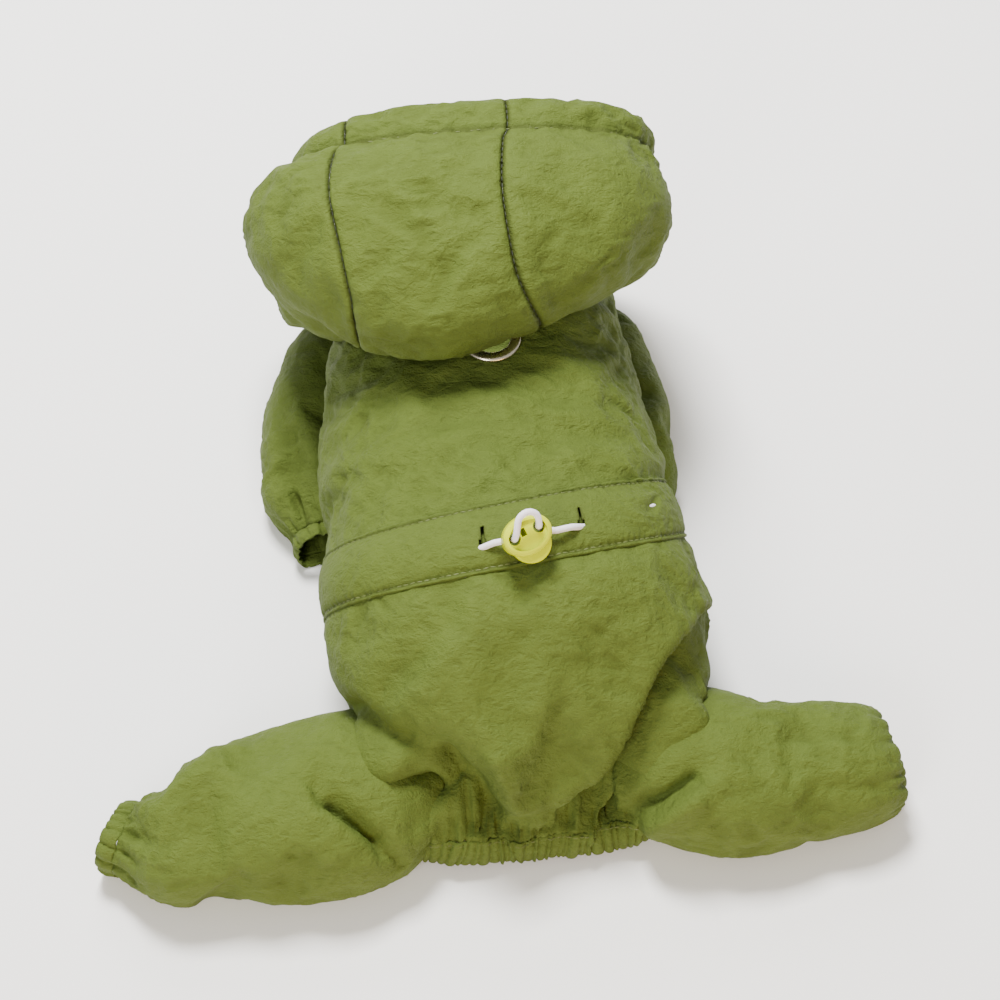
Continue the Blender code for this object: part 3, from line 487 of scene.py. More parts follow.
def body_shape(turn, along):
    """The body with its creases and the pleats that rise from the gathered hem."""
    base = section_surface(BODY)
    spots = base(turn, along)
    normals = outward(base, turn, along, 1, 0.004)
    reach = np.maximum(1 - along, 0) * 400
    lines, depths = gather_lines(5, -0.2, 0.2, 42)
    lift = 5.0 * pleats_above(turn, reach, lines, depths, 0.0095, 6) * np.clip(1.6 - np.abs(turn) / 0.16, 0, 1)
    joined = np.exp(-(reach / 3) ** 2)
    lift = (1 - joined) * lift + joined * (PUFF * puffs(turn, lines, depths) - SUNK)
    moved = spots + creased(spots, normals, BODY_CREASES) + normals * lift[..., None]
    moved[..., 2] = np.maximum(moved[..., 2], 0)
    return moved


def hem_shape(turn, along):
    base = section_surface(BODY)
    spots = base(turn, along)
    normals = outward(base, turn, along, 1, 0.004)
    share = (along - 1.0) / 0.06
    slant = 0.003 + 0.004 * np.sin(math.tau * turn * 9)
    lines, depths = gather_lines(5, -0.2, 0.2, 42)
    lift = PUFF * puffs(turn + slant * share, lines, depths) + np.sin(math.pi * np.clip(share, 0, 1)) - SUNK
    moved = spots + creased(spots, normals, BODY_CREASES) + normals * lift[..., None]
    moved[..., 2] = np.maximum(moved[..., 2], 0)
    return moved


def tunnel_along(turn, share):
    return 0.605 - 0.2 * turn + share * (0.09 + 0.15 * turn ** 2)


def over_back(turn, along, height):
    """Points over the crinkled back."""
    spots = body_shape(turn, along)
    normals = outward(body_shape, turn, along, 1, 0.004)
    crinkle = bpy.context.scene.jumpsuit_sizes.crinkle
    return spots + normals * (0.5 * crumple(spots, crinkle) + height)[..., None]


def tunnel_shape(turn, share):
    """The strip that is sewn over the back, with its cord's channel and the puckers along its two edges."""
    edge = np.minimum(share, 1 - share) * 36
    channel = np.sin(math.pi * np.clip(share, 0, 1)) ** 0.75 * (1 - (turn / SIDE_SEAM) ** 4)
    height = 0.4 + 3.9 * channel + 0.3 * np.exp(-((edge - 0.8) / 0.9) ** 2)
    height = height - 0.8 * np.exp(-((edge - 2.6) / 0.8) ** 2)
    pucker = 0.5 + 0.5 * np.cos(math.tau * turn * 440 / 3.1 + 2 * np.sin(turn * 60))
    height = height - 0.5 * pucker * np.exp(-((edge - 3.6) / 1.8) ** 2)
    return over_back(turn, tunnel_along(turn, share), height)


def hood_shape(turn, along):
    """The hood, sewn over the neck's edge, with the puffed band round its rim and the groove of its stitch line."""
    base = section_surface(HOOD)
    spots = base(turn, along)
    normals = outward(base, turn, along, -1, 0.004)
    above = (along - RIM_STITCH) * 211
    band = 1.4 * np.sin(math.pi * np.clip(above / 19, 0, 1)) ** 0.8
    groove = -0.9 * np.exp(-(above / 1.0) ** 2)
    pucker = 0.35 * np.cos(math.tau * turn * 470 / 6.5 + 2 * np.sin(turn * 90)) * np.exp(-(above / 5) ** 2)
    seams = smooth_rows(HOOD_SEAMS, along)
    gap = np.minimum(np.abs(turn - seams.left_turn), np.abs(turn - seams.right_turn)) * 470
    seam = -0.8 * np.exp(-(gap / 0.9) ** 2) + 0.25 * np.exp(-((gap - 4) / 2.2) ** 2)
    moved = spots + normals * (band + groove + pucker + seam)[..., None]
    neck, at_neck = section_surface(BODY), np.full(np.shape(turn), 0.012)
    lapped = neck(turn, at_neck) + outward(neck, turn, at_neck, 1, 0.004) * 0.1
    joined = np.exp(-(along / 0.025) ** 2)[..., None]
    moved = (1 - joined) * moved + joined * lapped
    moved[..., 2] = np.maximum(moved[..., 2], 0)
    return moved


def limb_shape(table, creases, seed, pleats, lip=0.0):
    """A sleeve or a leg down to its casing, with the pleats that run up from it. Its end may roll over the casing."""
    base = limb_surface(table)
    casing_at = table[-2].at
    lines, depths = gather_lines(seed, 0, 1, pleats)
    length = np.linalg.norm(np.diff(np.array([row[1:4] for row in table]), axis=0), axis=1).sum()

    def point(turn, along):
        spots = base(turn, along)
        normals = outward(base, turn, along, 1, 0.004)
        reach = np.maximum(casing_at - along, 0) * length
        joined = np.exp(-(reach / 3) ** 2) * (0.3 if lip else 1.0)
        lift = ((1 - joined) * 3.4 * pleats_above(turn, reach, lines, depths, 0.7 / pleats, seed + 1)
                + joined * (PUFF * puffs(turn, lines, depths) - SUNK))
        moved = spots + creased(spots, normals, creases) + normals * lift[..., None]
        if lip:
            heading = math.radians(table[-2].heading)
            roll = lip * (reach / 5) * np.exp(1 - reach / 5)
            moved += roll[..., None] * np.array((math.cos(heading), math.sin(heading), 0.12))
        moved[..., 2] = np.maximum(moved[..., 2], 0)
        return moved
    return point


def cuff_shape(table, seed, pleats):
    base = limb_surface(table)
    casing_at = table[-2].at
    lines, depths = gather_lines(seed, 0, 1, pleats)

    def point(turn, along):
        spots = base(turn, along)
        normals = outward(base, turn, along, 1, 0.004)
        share = (along - casing_at) / (1 - casing_at)
        slant = 0.012 * np.sin(math.tau * turn * 2)
        lift = PUFF * puffs(turn + slant * share, lines, depths) + np.sin(math.pi * np.clip(share, 0, 1)) - SUNK
        moved = spots + normals * lift[..., None]
        moved[..., 2] = np.maximum(moved[..., 2], 0)
        return moved
    return point


LIMBS = {
    "sleeve_left": (SLEEVE_LEFT, SLEEVE_CREASES, 11, 15, 118, 108),
    "sleeve_right": (SLEEVE_RIGHT, (), 12, 14, 105, 108),
    "leg_left": (LEG_LEFT, LEG_LEFT_CREASES, 13, 18, 190, 140),
    "leg_right": (LEG_RIGHT, LEG_RIGHT_CREASES, 14, 18, 180, 120),
}
LIPS = {"leg_right": 5.5}


def inside_limbs(spots, *_, margin=8.0):
    """Points that lie well inside a sleeve or a leg, where the body is cut open."""
    inside = np.zeros(len(spots), bool)
    for table, *rest in LIMBS.values():
        rows = smooth_rows(table, np.linspace(0, table[-2].at, 50))
        heading = np.radians(rows.heading)
        ahead = (spots[:, :1] - rows.x) * np.cos(heading) + (spots[:, 1:2] - rows.y) * np.sin(heading)
        passed = (ahead[:, :-1] >= 0) & (ahead[:, 1:] < 0)
        ring = np.argmax(passed, axis=1)
        side = ((spots[:, 0] - rows.x[ring]) * -np.sin(heading[ring])
                + (spots[:, 1] - rows.y[ring]) * np.cos(heading[ring])) / (rows.half_width[ring] - margin)
        up = (spots[:, 2] - rows.z[ring]) / (rows.half_height[ring] - margin)
        inside |= passed.any(1) & (np.abs(side) ** 2.2 + np.abs(up) ** 2.2 < 1)
    return inside


# ---- Materials

class Wire:
    """A value that runs through a material. Sums, differences, products and powers of it add Math nodes."""

    def __init__(self, finish, socket):
        self.finish, self.socket = finish, socket

    def math(self, operation, first, second):
        return self.finish.add("ShaderNodeMath", {"operation": operation}, {0: first, 1: second})

    def __add__(self, other):
        return self.math('ADD', self, other)

    __radd__ = __add__

    def __sub__(self, other):
        return self.math('SUBTRACT', self, other)

    def __rsub__(self, other):
        return self.math('SUBTRACT', other, self)

    def __mul__(self, other):
        return self.math('MULTIPLY', self, other)

    __rmul__ = __mul__


class Finish:
    """One material and the nodes that are added to it."""

    def __init__(self, name):
        self.material = bpy.data.materials.new(name)
        self.material.use_nodes = True
        self.tree = self.material.node_tree
        self.shader = self.tree.nodes["Principled BSDF"]

    def add(self, kind, settings=None, inputs=None, output=0):
        node = self.tree.nodes.new(kind)
        for key, value in (settings or {}).items():
            setattr(node, key, value)
        self.feed(node, inputs or {})
        return Wire(self, node.outputs[output])

    def feed(self, node, inputs):
        for key, value in inputs.items():
            if isinstance(value, Wire):
                self.tree.links.new(value.socket, node.inputs[key])
            else:
                node.inputs[key].default_value = value

    def noise(self, scale, detail=3.0, roughness=0.5):
        where = self.add("ShaderNodeTexCoord", output=3)
        return self.add("ShaderNodeTexNoise", inputs={"Vector": where, "Scale": scale, "Detail": detail,
                                                      "Roughness": roughness})

    def mix(self, factor, first, second):
        return self.add("ShaderNodeMix", {"data_type": 'RGBA'}, {0: factor, 6: first, 7: second}, output=2)

    def bump(self, height, strength, distance):
        return self.add("ShaderNodeBump", inputs={"Height": height, "Strength": strength, "Distance": distance})


def shade(colour, factor):
    return tuple(channel * factor for channel in colour[:3]) + (1.0,)


def make_nylon(colours):
    finish = Finish("green nylon")
    relief = finish.add("ShaderNodeAttribute", {"attribute_name": "relief"}, output=2)
    seam = finish.add("ShaderNodeAttribute", {"attribute_name": "seam"}, output=2)
    mottle = finish.noise(60.0, 4.0, 0.6)
    grain = finish.noise(1500.0, 3.0, 0.6)
    where = finish.add("ShaderNodeTexCoord", output=3)
    stretched = finish.add("ShaderNodeMapping", inputs={"Vector": where, "Rotation": (0.0, 0.0, 0.4),
                                                        "Scale": (0.65, 1.0, 1.0)})
    crease = 0.0
    for weight, scale in ((0.6, 150.0), (0.4, 300.0)):
        cloud = finish.add("ShaderNodeTexNoise", inputs={"Vector": stretched, "Scale": scale, "Detail": 5.0,
                                                         "Roughness": 0.62, "Distortion": 0.3})
        crease = crease + weight * (1.0 - cloud.math('ABSOLUTE', 4.0 * cloud - 2.0, 0.0))
    # Random tone from mottle and grain, plus painted shade and painted highlight: relief and crease height make
    # raised creases lighter and troughs darker
    light = 0.49 + 0.1 * relief + 0.16 * (mottle - 0.5) + 0.2 * (crease - 0.4) + 0.25 * (grain - 0.5)
    colour = finish.mix(2.0 * light, tuple(colours.nylon_dark_and_painted_shade), tuple(colours.nylon))
    colour = finish.mix(2.0 * light - 1.0, colour, tuple(colours.nylon_pale_and_painted_lit))
    # Painted shade: seams and the cloth beside the slits turn near-black, as the grooves and slit mouths lie in shade
    colour = finish.mix(0.8 * seam, colour, tuple(colours.nylon_seam_painted_shade))
    finish.feed(finish.shader, {"Base Color": colour, "Roughness": 0.7 - 0.1 * relief,
                                "Normal": finish.bump(crease + 0.2 * grain, 0.65, 0.0017)})
    finish.shader.inputs["Specular IOR Level"].default_value = 0.12


def make_thread(name, colour):
    finish = Finish(name)
    fibre = finish.noise(2500.0, 2.0)
    finish.feed(finish.shader, {"Base Color": finish.mix(fibre, shade(colour, 0.7), shade(colour, 1.25)),
                                "Roughness": 0.7, "Normal": finish.bump(fibre, 0.4, 0.0002)})


def make_plastic(colours):
    finish = Finish("yellow plastic")
    cloud = finish.noise(160.0, 2.0)
    finish.feed(finish.shader, {"Base Color": finish.mix(cloud, shade(colours.plastic, 0.94), shade(colours.plastic, 1.04)),
                                "Roughness": 0.26 + 0.1 * cloud,
                                "Normal": finish.bump(finish.noise(700.0, 2.0), 0.06, 0.0003)})
    finish.shader.inputs["Specular IOR Level"].default_value = 0.12


def make_elastic(colours):
    finish = Finish("white elastic")
    braid = finish.noise(1600.0, 2.0)
    finish.feed(finish.shader, {"Base Color": finish.mix(braid, shade(colours.elastic, 0.86), shade(colours.elastic, 1.0)),
                                "Roughness": 0.6, "Normal": finish.bump(braid, 0.5, 0.0003)})


def make_steel(colours):
    finish = Finish("plated steel")
    wear = finish.noise(420.0, 4.0)
    finish.feed(finish.shader, {"Base Color": finish.mix(wear, shade(colours.metal, 0.82), shade(colours.metal, 1.0)),
                                "Roughness": 0.2 + 0.16 * wear, "Metallic": 1.0,
                                "Normal": finish.bump(wear, 0.05, 0.0002)})


# ---- What a user would change

class JumpsuitSizes(bpy.types.PropertyGroup):
    cloth_thickness: bpy.props.FloatProperty(
        name="Cloth", description="Thickness of the nylon", default=0.0007, min=0.0003, max=0.002,
        subtype='DISTANCE', unit='LENGTH')
    grid_step: bpy.props.FloatProperty(
        name="Grid step", description="Distance between the points of the visible cloth, in millimetres",
        default=1.35, min=1.0, max=6.0)
    crinkle: bpy.props.FloatProperty(
        name="Crinkle", description="Height of the crumpled nylon's creases, in millimetres", default=1.3,
        min=0.0, max=3.0)
    cord_diameter: bpy.props.FloatProperty(
        name="Cord", description="Diameter of the elastic cord", default=0.0026, subtype='DISTANCE',
        unit='LENGTH')
    stitch_length: bpy.props.FloatProperty(
        name="Stitch", description="Length of one stitch, in millimetres", default=2.4, min=1.0, max=5.0)


class JumpsuitColours(bpy.types.PropertyGroup):
    # Lit and shaded copies of the nylon, mixed by height: painted highlight on raised creases, painted shade in
    # troughs, with random mottle between
    nylon_pale_and_painted_lit: bpy.props.FloatVectorProperty(
        name="Nylon, raised", description="Colour of the raised creases", subtype='COLOR', size=4,
        default=(0.106, 0.152, 0.026, 1))
    nylon: bpy.props.FloatVectorProperty(
        name="Nylon", description="Colour of the cloth between creases", subtype='COLOR', size=4,
        default=(0.070, 0.098, 0.016, 1))
    nylon_dark_and_painted_shade: bpy.props.FloatVectorProperty(
        name="Nylon, sunk", description="Colour of the troughs", subtype='COLOR', size=4,
        default=(0.038, 0.042, 0.007, 1))
    # Painted shade of the seam grooves and slit mouths
    nylon_seam_painted_shade: bpy.props.FloatVectorProperty(
        name="Nylon at seams", description="Colour of the cloth where needles have pulled it in",
        subtype='COLOR', size=4, default=(0.020, 0.022, 0.003, 1))
    thread: bpy.props.FloatVectorProperty(
        name="Thread", description="Colour of the tonal topstitching", subtype='COLOR', size=4,
        default=(0.085, 0.108, 0.022, 1))
    seam_thread: bpy.props.FloatVectorProperty(
        name="Hood seam thread", description="Colour of the dark stitches that show in the hood's seams",
        subtype='COLOR', size=4, default=(0.012, 0.018, 0.006, 1))
    plastic: bpy.props.FloatVectorProperty(
        name="Cord lock", description="Colour of the cord lock", subtype='COLOR', size=4,
        default=(0.50, 0.57, 0.0, 1))
    elastic: bpy.props.FloatVectorProperty(
        name="Cord", description="Colour of the elastic cord", subtype='COLOR', size=4,
        default=(0.82, 0.78, 0.86, 1))
    metal: bpy.props.FloatVectorProperty(
        name="Eyelet", description="Colour of the plated eyelet", subtype='COLOR', size=4,
        default=(0.80, 0.72, 0.58, 1))


# ---- Hard pieces

EYELET_TURN, EYELET_ALONG = -0.003, 0.343
LOCK_TURN, LOCK_SHARE = 0.0069, 0.736
LOCK_LIFT = 9.5
LOCK_LEAN, LOCK_TWIST = math.radians(30), math.radians(17)
SLIT_TURNS = (-0.0262, 0.0560)
SLIT_SHARES = (0.40, 0.66)
CORD_LEFT = ((-0.15, 0.50, 2.0), (-0.11, 0.50, 2.0), (-0.07, 0.55, 2.0), (-0.045, 0.61, 2.0))
CORD_THROUGH = (
    (-20.2, 4.6, -9.2), (-18.7, 3.8, -8.9), (-17.1, 3.4, -7.9), (-12.0, 3.0, -4.1), (-10.7, 2.7, -3.3),
    (-8.5, 2.0, -2.4), (-6.8, 1.5, -1.2), (-5.7, 1.1, 0.5), (-5.35, 1.0, 2.5), (-5.35, 1.0, 7.0),
    (-5.1, 1.3, 8.9), (-4.5, 2.2, 10.6), (-3.6, 3.6, 11.8), (-1.8, 6.5, 13.3), (-0.7, 7.6, 13.9),
    (0.9, 8.2, 14.2), (2.5, 8.3, 14.3), (4.1, 7.8, 14.0), (5.3, 6.8, 13.5), (6.0, 5.4, 12.7), (6.0, 3.8, 11.9),
    (5.6, 2.3, 10.7), (5.4, 1.3, 9.1), (5.35, 1.0, 7.2), (5.35, 1.0, 3.2), (5.6, 0.8, 1.3), (6.4, 0.1, -0.4),
    (7.5, -1.0, -1.5), (8.9, -2.2, -2.1), (10.9, -3.8, -2.4), (12.2, -4.4, -2.8), (16.7, -5.7, -4.3),
    (18.9, -6.5, -5.6), (22.8, -8.6, -9.9), (24.0, -9.1, -10.9), (25.4, -9.4, -11.5))
CORD_RIGHT = ((0.073, 0.60, 2.0), (0.11, 0.50, 2.0), (0.15, 0.50, 2.0))


def plain_back(turn, along, height):
    """Points over the smooth back, without its crinkle."""
    base = section_surface(BODY)
    turn, along = np.array([turn]), np.array([along])
    return (base(turn, along) + outward(base, turn, along, 1, 0.004) * height)[0]


def surface_frame(turn, along, height):
    """A frame over the back, in metres: its X runs round the body and its Z points away from the cloth."""
    base = section_surface(BODY)
    upward = Vector(outward(base, np.array([turn]), np.array([along]), 1, 0.004)[0])
    step = 0.01
    across = Vector(plain_back(turn + step, along - 0.2 * step, height)
                    - plain_back(turn - step, along + 0.2 * step, height)).normalized()
    across = (across - upward * across.dot(upward)).normalized()
    place = Matrix((across, upward.cross(across), upward)).transposed().to_4x4()
    place.translation = Vector(to_scene(plain_back(turn, along, height)))
    return place


def lock_frame():
    place = surface_frame(LOCK_TURN, tunnel_along(LOCK_TURN, LOCK_SHARE), LOCK_LIFT)
    return place @ Matrix.Rotation(LOCK_LEAN, 4, 'X') @ Matrix.Rotation(LOCK_TWIST, 4, 'Z')


def smooth_route(points, spacing):
    """Points every `spacing` along a smooth curve through the route's own points."""
    fine = []
    last = len(points) - 1
    for index in range(last):
        before, start, end, after = (points[min(max(index + step, 0), last)] for step in (-1, 0, 1, 2))
        for step in range(12):
            share = step / 12
            fine.append(0.5 * (2 * start + (end - before) * share
                               + (2 * before - 5 * start + 4 * end - after) * share ** 2
                               + (3 * start - before - 3 * end + after) * share ** 3))
    fine.append(points[-1])
    kept, run = [fine[0]], 0
    for previous, following in zip(fine, fine[1:]):
        run += (following - previous).length
        if run >= spacing:
            kept.append(following)
            run = 0
    kept[-1] = fine[-1]
    return kept


def finish_hard(name, model, material, place=None):
    """A hard piece from a bmesh in millimetres, put in its place in the mesh."""
    matrix = (place or Matrix.Identity(4)) @ Matrix.Scale(MM, 4)
    bmesh.ops.transform(model, matrix=matrix, verts=model.verts[:])
    bmesh.ops.recalc_face_normals(model, faces=model.faces[:])
    mesh = bpy.data.meshes.new(name)
    model.to_mesh(mesh)
    model.free()
    mesh.shade_smooth()
    mesh.set_sharp_from_angle(angle=math.radians(40))
    mesh.materials.append(bpy.data.materials[material])
    piece = add_piece(name, mesh)
    return piece


def oval(model, half_x, half_y, low, high, middle_y=0.0, segments=72):
    """An upright oval block."""
    verts = bmesh.ops.create_circle(model, cap_ends=True, segments=segments, radius=1)["verts"]
    bmesh.ops.scale(model, verts=verts, vec=(half_x, half_y, 1))
    bmesh.ops.translate(model, verts=verts, vec=(0, middle_y, low))
    faces = list({face for vert in verts for face in vert.link_faces})
    lid = bmesh.ops.extrude_face_region(model, geom=faces, use_keep_orig=True)["geom"]
    raised = [part for part in lid if isinstance(part, bmesh.types.BMVert)]
    bmesh.ops.translate(model, verts=raised, vec=(0, 0, high - low))


def round_rim(model, height, width, segments):
    """Bevel the edges that lie at one height and border an upright face."""
    edges = [edge for edge in model.edges
             if all(abs(vert.co.z - height) < 1e-3 for vert in edge.verts) and len(edge.link_faces) == 2]
    bmesh.ops.bevel(model, geom=edges, offset=width, segments=segments, profile=0.5, affect='EDGES', material=-1)


def carve(model, *cutters):
    """Cut shapes out of a model with Blender's boolean, and give the cut model back."""
    target = bpy.data.objects.new("carving", bpy.data.meshes.new("carving"))
    model.to_mesh(target.data)
    model.free()
    bpy.context.scene.collection.objects.link(target)
    tools = []
    for cutter in cutters:
        tool = bpy.data.objects.new("tool", bpy.data.meshes.new("tool"))
        bmesh.ops.recalc_face_normals(cutter, faces=cutter.faces[:])
        cutter.to_mesh(tool.data)
        cutter.free()
        bpy.context.scene.collection.objects.link(tool)
        hole = target.modifiers.new("hole", 'BOOLEAN')
        hole.operation, hole.solver, hole.object = 'DIFFERENCE', 'EXACT', tool
        tools.append(tool)
    bpy.context.view_layer.update()
    carved = bmesh.new()
    carved.from_mesh(target.evaluated_get(bpy.context.evaluated_depsgraph_get()).to_mesh())
    for thing in (target, *tools):
        bpy.data.objects.remove(thing)
    return carved


class JUMPSUIT_OT_cord(bpy.types.Operator):
    """Make the elastic cord that comes out of the tunnel and loops through the cord lock"""
    bl_idname = "jumpsuit.cord"
    bl_label = "Elastic Cord"

    def execute(self, context):
        diameter = context.scene.jumpsuit_sizes.cord_diameter
        place = lock_frame()

        def under(turn, share, height):
            along = np.array([tunnel_along(turn, share)])
            turn = np.array([turn])
            spot = body_shape(turn, along) + outward(body_shape, turn, along, 1, 0.004) * height
            return Vector(to_scene(spot[0]))

        points = [under(*spot) for spot in CORD_LEFT]
        points += [place @ (Vector(spot) * MM) for spot in CORD_THROUGH]
        points += [under(*spot) for spot in CORD_RIGHT]
        route = smooth_route(points, 0.5 * diameter)
        curve = bpy.data.curves.new("elastic_cord", 'CURVE')
        curve.dimensions = '3D'
        curve.bevel_depth = diameter / 2
        curve.bevel_resolution = 5
        curve.use_fill_caps = True
        line = curve.splines.new('POLY')
        line.points.add(len(route) - 1)
        for knot, spot in zip(line.points, route):
            knot.co = (*spot, 1)
        line.use_smooth = True
        curve.materials.append(bpy.data.materials["white elastic"])
        piece = add_piece("elastic_cord", curve)
        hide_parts("drawcord")
        length = sum((end - start).length for start, end in zip(route, route[1:]))
        return {'FINISHED'}


class JUMPSUIT_OT_body(bpy.types.Operator):
    """Make the back, the belly, the gathered rear hem and the waist tunnel"""
    bl_idname = "jumpsuit.body"
    bl_label = "Body"

    def execute(self, context):
        sizes = context.scene.jumpsuit_sizes
        step = sizes.grid_step
        frame_eyelet = np.array(surface_frame(EYELET_TURN, EYELET_ALONG, 0).translation) / MM - SHIFT

        def open_back(spots, *_):
            return inside_limbs(spots) | (np.linalg.norm(spots - frame_eyelet, axis=1) < 9.2)

        def sewn(turn, along):
            share = (along - tunnel_along(turn, 0)) / (tunnel_along(turn, 1) - tunnel_along(turn, 0))
            strip = 0.9 * np.clip(5 * np.minimum(share + 0.1, 1.1 - share), 0, 1)
            eyelet = np.hypot((turn - EYELET_TURN) * 440, (along - EYELET_ALONG) * 330) < 15
            return np.maximum(strip, eyelet)

        moved = rumple(body_shape, even(-SIDE_SEAM, SIDE_SEAM, 245), even(0, 1, 330), 1,
                       Feel(0.09, 0.15, 0.8, 0.75, 3.0), sewn)
        back, flat, area = lay_cloth("back_cloth", body_shape, steps(-SIDE_SEAM, SIDE_SEAM, 245, step),
                                     steps(0, 1, 330, step), 1, sizes.crinkle, drop=open_back, moved=moved)
        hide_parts("back_panel")
        belly, flat, area = lay_cloth("belly_cloth", body_shape, steps(SIDE_SEAM, 1 - SIDE_SEAM, 200, 2.5),
                                      steps(0, 1, 260, 2.5), 1, 0.5 * sizes.crinkle, drop=inside_limbs)
        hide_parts("belly_panel")
        hem, flat, area = lay_cloth("rear_hem_cloth", hem_shape, steps(-0.2, 0.2, 150, 0.5),
                                    steps(1.0, 1.06, 15, 0.8), 1, 0.3 * sizes.crinkle, drop=inside_limbs)
        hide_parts("rear_hem_casing")
        turns = [steps(-0.268, 0.268, 245, 0.9)]
        turns += [[slit + side * SLIT_HALF for side in (-2.6, -1, 0, 1, 2.6)] for slit in SLIT_TURNS]
        turns = np.sort(np.concatenate(turns))
        tunnel, flat, area = lay_cloth("waist_tunnel_cloth", tunnel_shape, turns, steps(0, 1, 38, 0.7), 1,
                                       0.4 * sizes.crinkle, drop=slit_places, seam=tunnel_seam)
        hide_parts("waist_tunnel")
        return {'FINISHED'}


SLIT_HALF = 0.0014      # half the width of a slit, as a share of the girth


def tunnel_seam(turn, share):
    edge = np.minimum(share, 1 - share) * 36
    seam = 0.7 * np.exp(-((edge - 2.4) / 0.8) ** 2)
    # Beside each slit the mark is 1, which paints shade round the slit's mouth
    low, high = SLIT_SHARES
    for slit in SLIT_TURNS:
        beside = np.exp(-((turn - slit) / (1.6 * SLIT_HALF)) ** 2)
        seam = np.maximum(seam, beside * ((share > low) & (share < high)))
    return seam


def slit_places(spots, turn, share):
    """Points of the tunnel that lie in one of its two slits, which are wider where the cord leaves."""
    low, high = SLIT_SHARES
    gone = np.zeros(len(spots), bool)
    for slit in SLIT_TURNS:
        gap = np.abs(turn - slit)
        gone |= (gap < 0.5 * SLIT_HALF) & (share > low) & (share < high)
        gone |= (gap < 1.2 * SLIT_HALF) & (share > high - 0.08) & (share < high)
    return gone


class JUMPSUIT_OT_hood(bpy.types.Operator):
    """Make the three panels of the folded-back hood"""
    bl_idname = "jumpsuit.hood"
    bl_label = "Hood"

    def execute(self, context):
        sizes = context.scene.jumpsuit_sizes
        step = 1.25 * sizes.grid_step

        def panel(from_turn, to_turn):
            def shape(share, along):
                return hood_shape(*place(share, along))

            def place(share, along):
                seams = smooth_rows(HOOD_SEAMS, along)
                start, end = from_turn(seams), to_turn(seams)
                return start + share * (end - start), along

            # Marks the seams and the rim stitch line, where the material paints shade
            def seam(share, along):
                turn, along = place(share, along)
                seams = smooth_rows(HOOD_SEAMS, along)
                gap = np.minimum(np.abs(turn - seams.left_turn), np.abs(turn - seams.right_turn)) * 470
                rim = np.abs(along - RIM_STITCH) * 211
                return np.maximum(0.8 * np.exp(-(gap / 0.7) ** 2), 0.6 * np.exp(-(rim / 1.2) ** 2))
            return shape, seam

        panels = (
            ("hood_centre", lambda s: s.left_turn, lambda s: s.right_turn, 75),
            ("hood_right", lambda s: s.right_turn, lambda s: 0.5 + 0 * s.at, 190),
            ("hood_left", lambda s: -0.5 + 0 * s.at, lambda s: s.left_turn, 170),
        )
        for name, start, end, width in panels:
            shape, seam = panel(start, end)
            moved = rumple(shape, even(0, 1, width), even(0, 1, 330), -1, Feel(0.09, 0.14, 0.8, 0.75, 3.0),
                           lambda share, along: 0.95 * np.exp(-((along - RIM_STITCH) * 211 / 2) ** 2))
            piece, flat, area = lay_cloth(name + "_cloth", shape, steps(0, 1, width, step), steps(0, 1, 330, step),
                                          -1, sizes.crinkle, seam=seam, moved=moved)
            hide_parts(name)
        return {'FINISHED'}


class JUMPSUIT_OT_limbs(bpy.types.Operator):
    """Make the two sleeves and the two legs with their elastic cuffs"""
    bl_idname = "jumpsuit.limbs"
    bl_label = "Sleeves and Legs"

    def execute(self, context):
        sizes = context.scene.jumpsuit_sizes
        for name, (table, creases, seed, pleats, girth, length) in LIMBS.items():
            casing_at = table[-2].at
            shape = limb_shape(table, creases, seed, pleats, LIPS.get(name, 0))
            moved = rumple(shape, even(0.5, 1.5, girth), even(0, casing_at, length), 1,
                           Feel(0.10, 0.12, 1.2, 0.8, 3.5), free=("start",))
            piece, flat, area = lay_cloth(name + "_cloth", shape, steps(0.5, 1.5, girth, sizes.grid_step),
                                          steps(0, casing_at, length, sizes.grid_step), 1, sizes.crinkle,
                                          closed=True, moved=moved)
            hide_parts(name)
            cuff = lay_cloth(name + "_cuff_cloth", cuff_shape(table, seed, pleats),
                             steps(0.5, 1.5, 0.55 * girth, 0.5), steps(casing_at, 1, 8, 0.7), 1,
                             0.25 * sizes.crinkle, closed=True)[0]
            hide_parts(name + "_cuff")
        return {'FINISHED'}


class JUMPSUIT_OT_eyelet(bpy.types.Operator):
    """Make the plated eyelet in the back"""
    bl_idname = "jumpsuit.eyelet"
    bl_label = "Eyelet"

    def execute(self, context):
        ring = bmesh.new()
        profile = [(8.0, -2.6)]
        profile += [(8.3 - 0.3 * math.cos(a), 0.2 + 0.9 * math.sin(a)) for a in np.linspace(0, math.pi / 2, 5)]
        profile += [(10.5 + 1.7 * math.sin(a), -0.1 + 1.2 * math.cos(a)) for a in np.linspace(0, 1.9, 8)]
        profile += [(9.2, 0.1), (9.0, -2.6), (12.0, -3.0), (12.0, -3.8), (8.2, -3.6)]
        verts = [ring.verts.new((radius, 0, height)) for radius, height in profile]
        edges = [ring.edges.new((start, end)) for start, end in zip(verts, verts[1:] + verts[:1])]
        bmesh.ops.spin(ring, geom=verts + edges, cent=(0, 0, 0), axis=(0, 0, 1), angle=math.tau, steps=72,
                       use_merge=True)
        bmesh.ops.remove_doubles(ring, verts=ring.verts[:], dist=1e-4)
        piece = finish_hard("eyelet_ring", ring, "plated steel",
                            surface_frame(EYELET_TURN, EYELET_ALONG, 0.9))
        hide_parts("leash_eyelet")
        return {'FINISHED'}


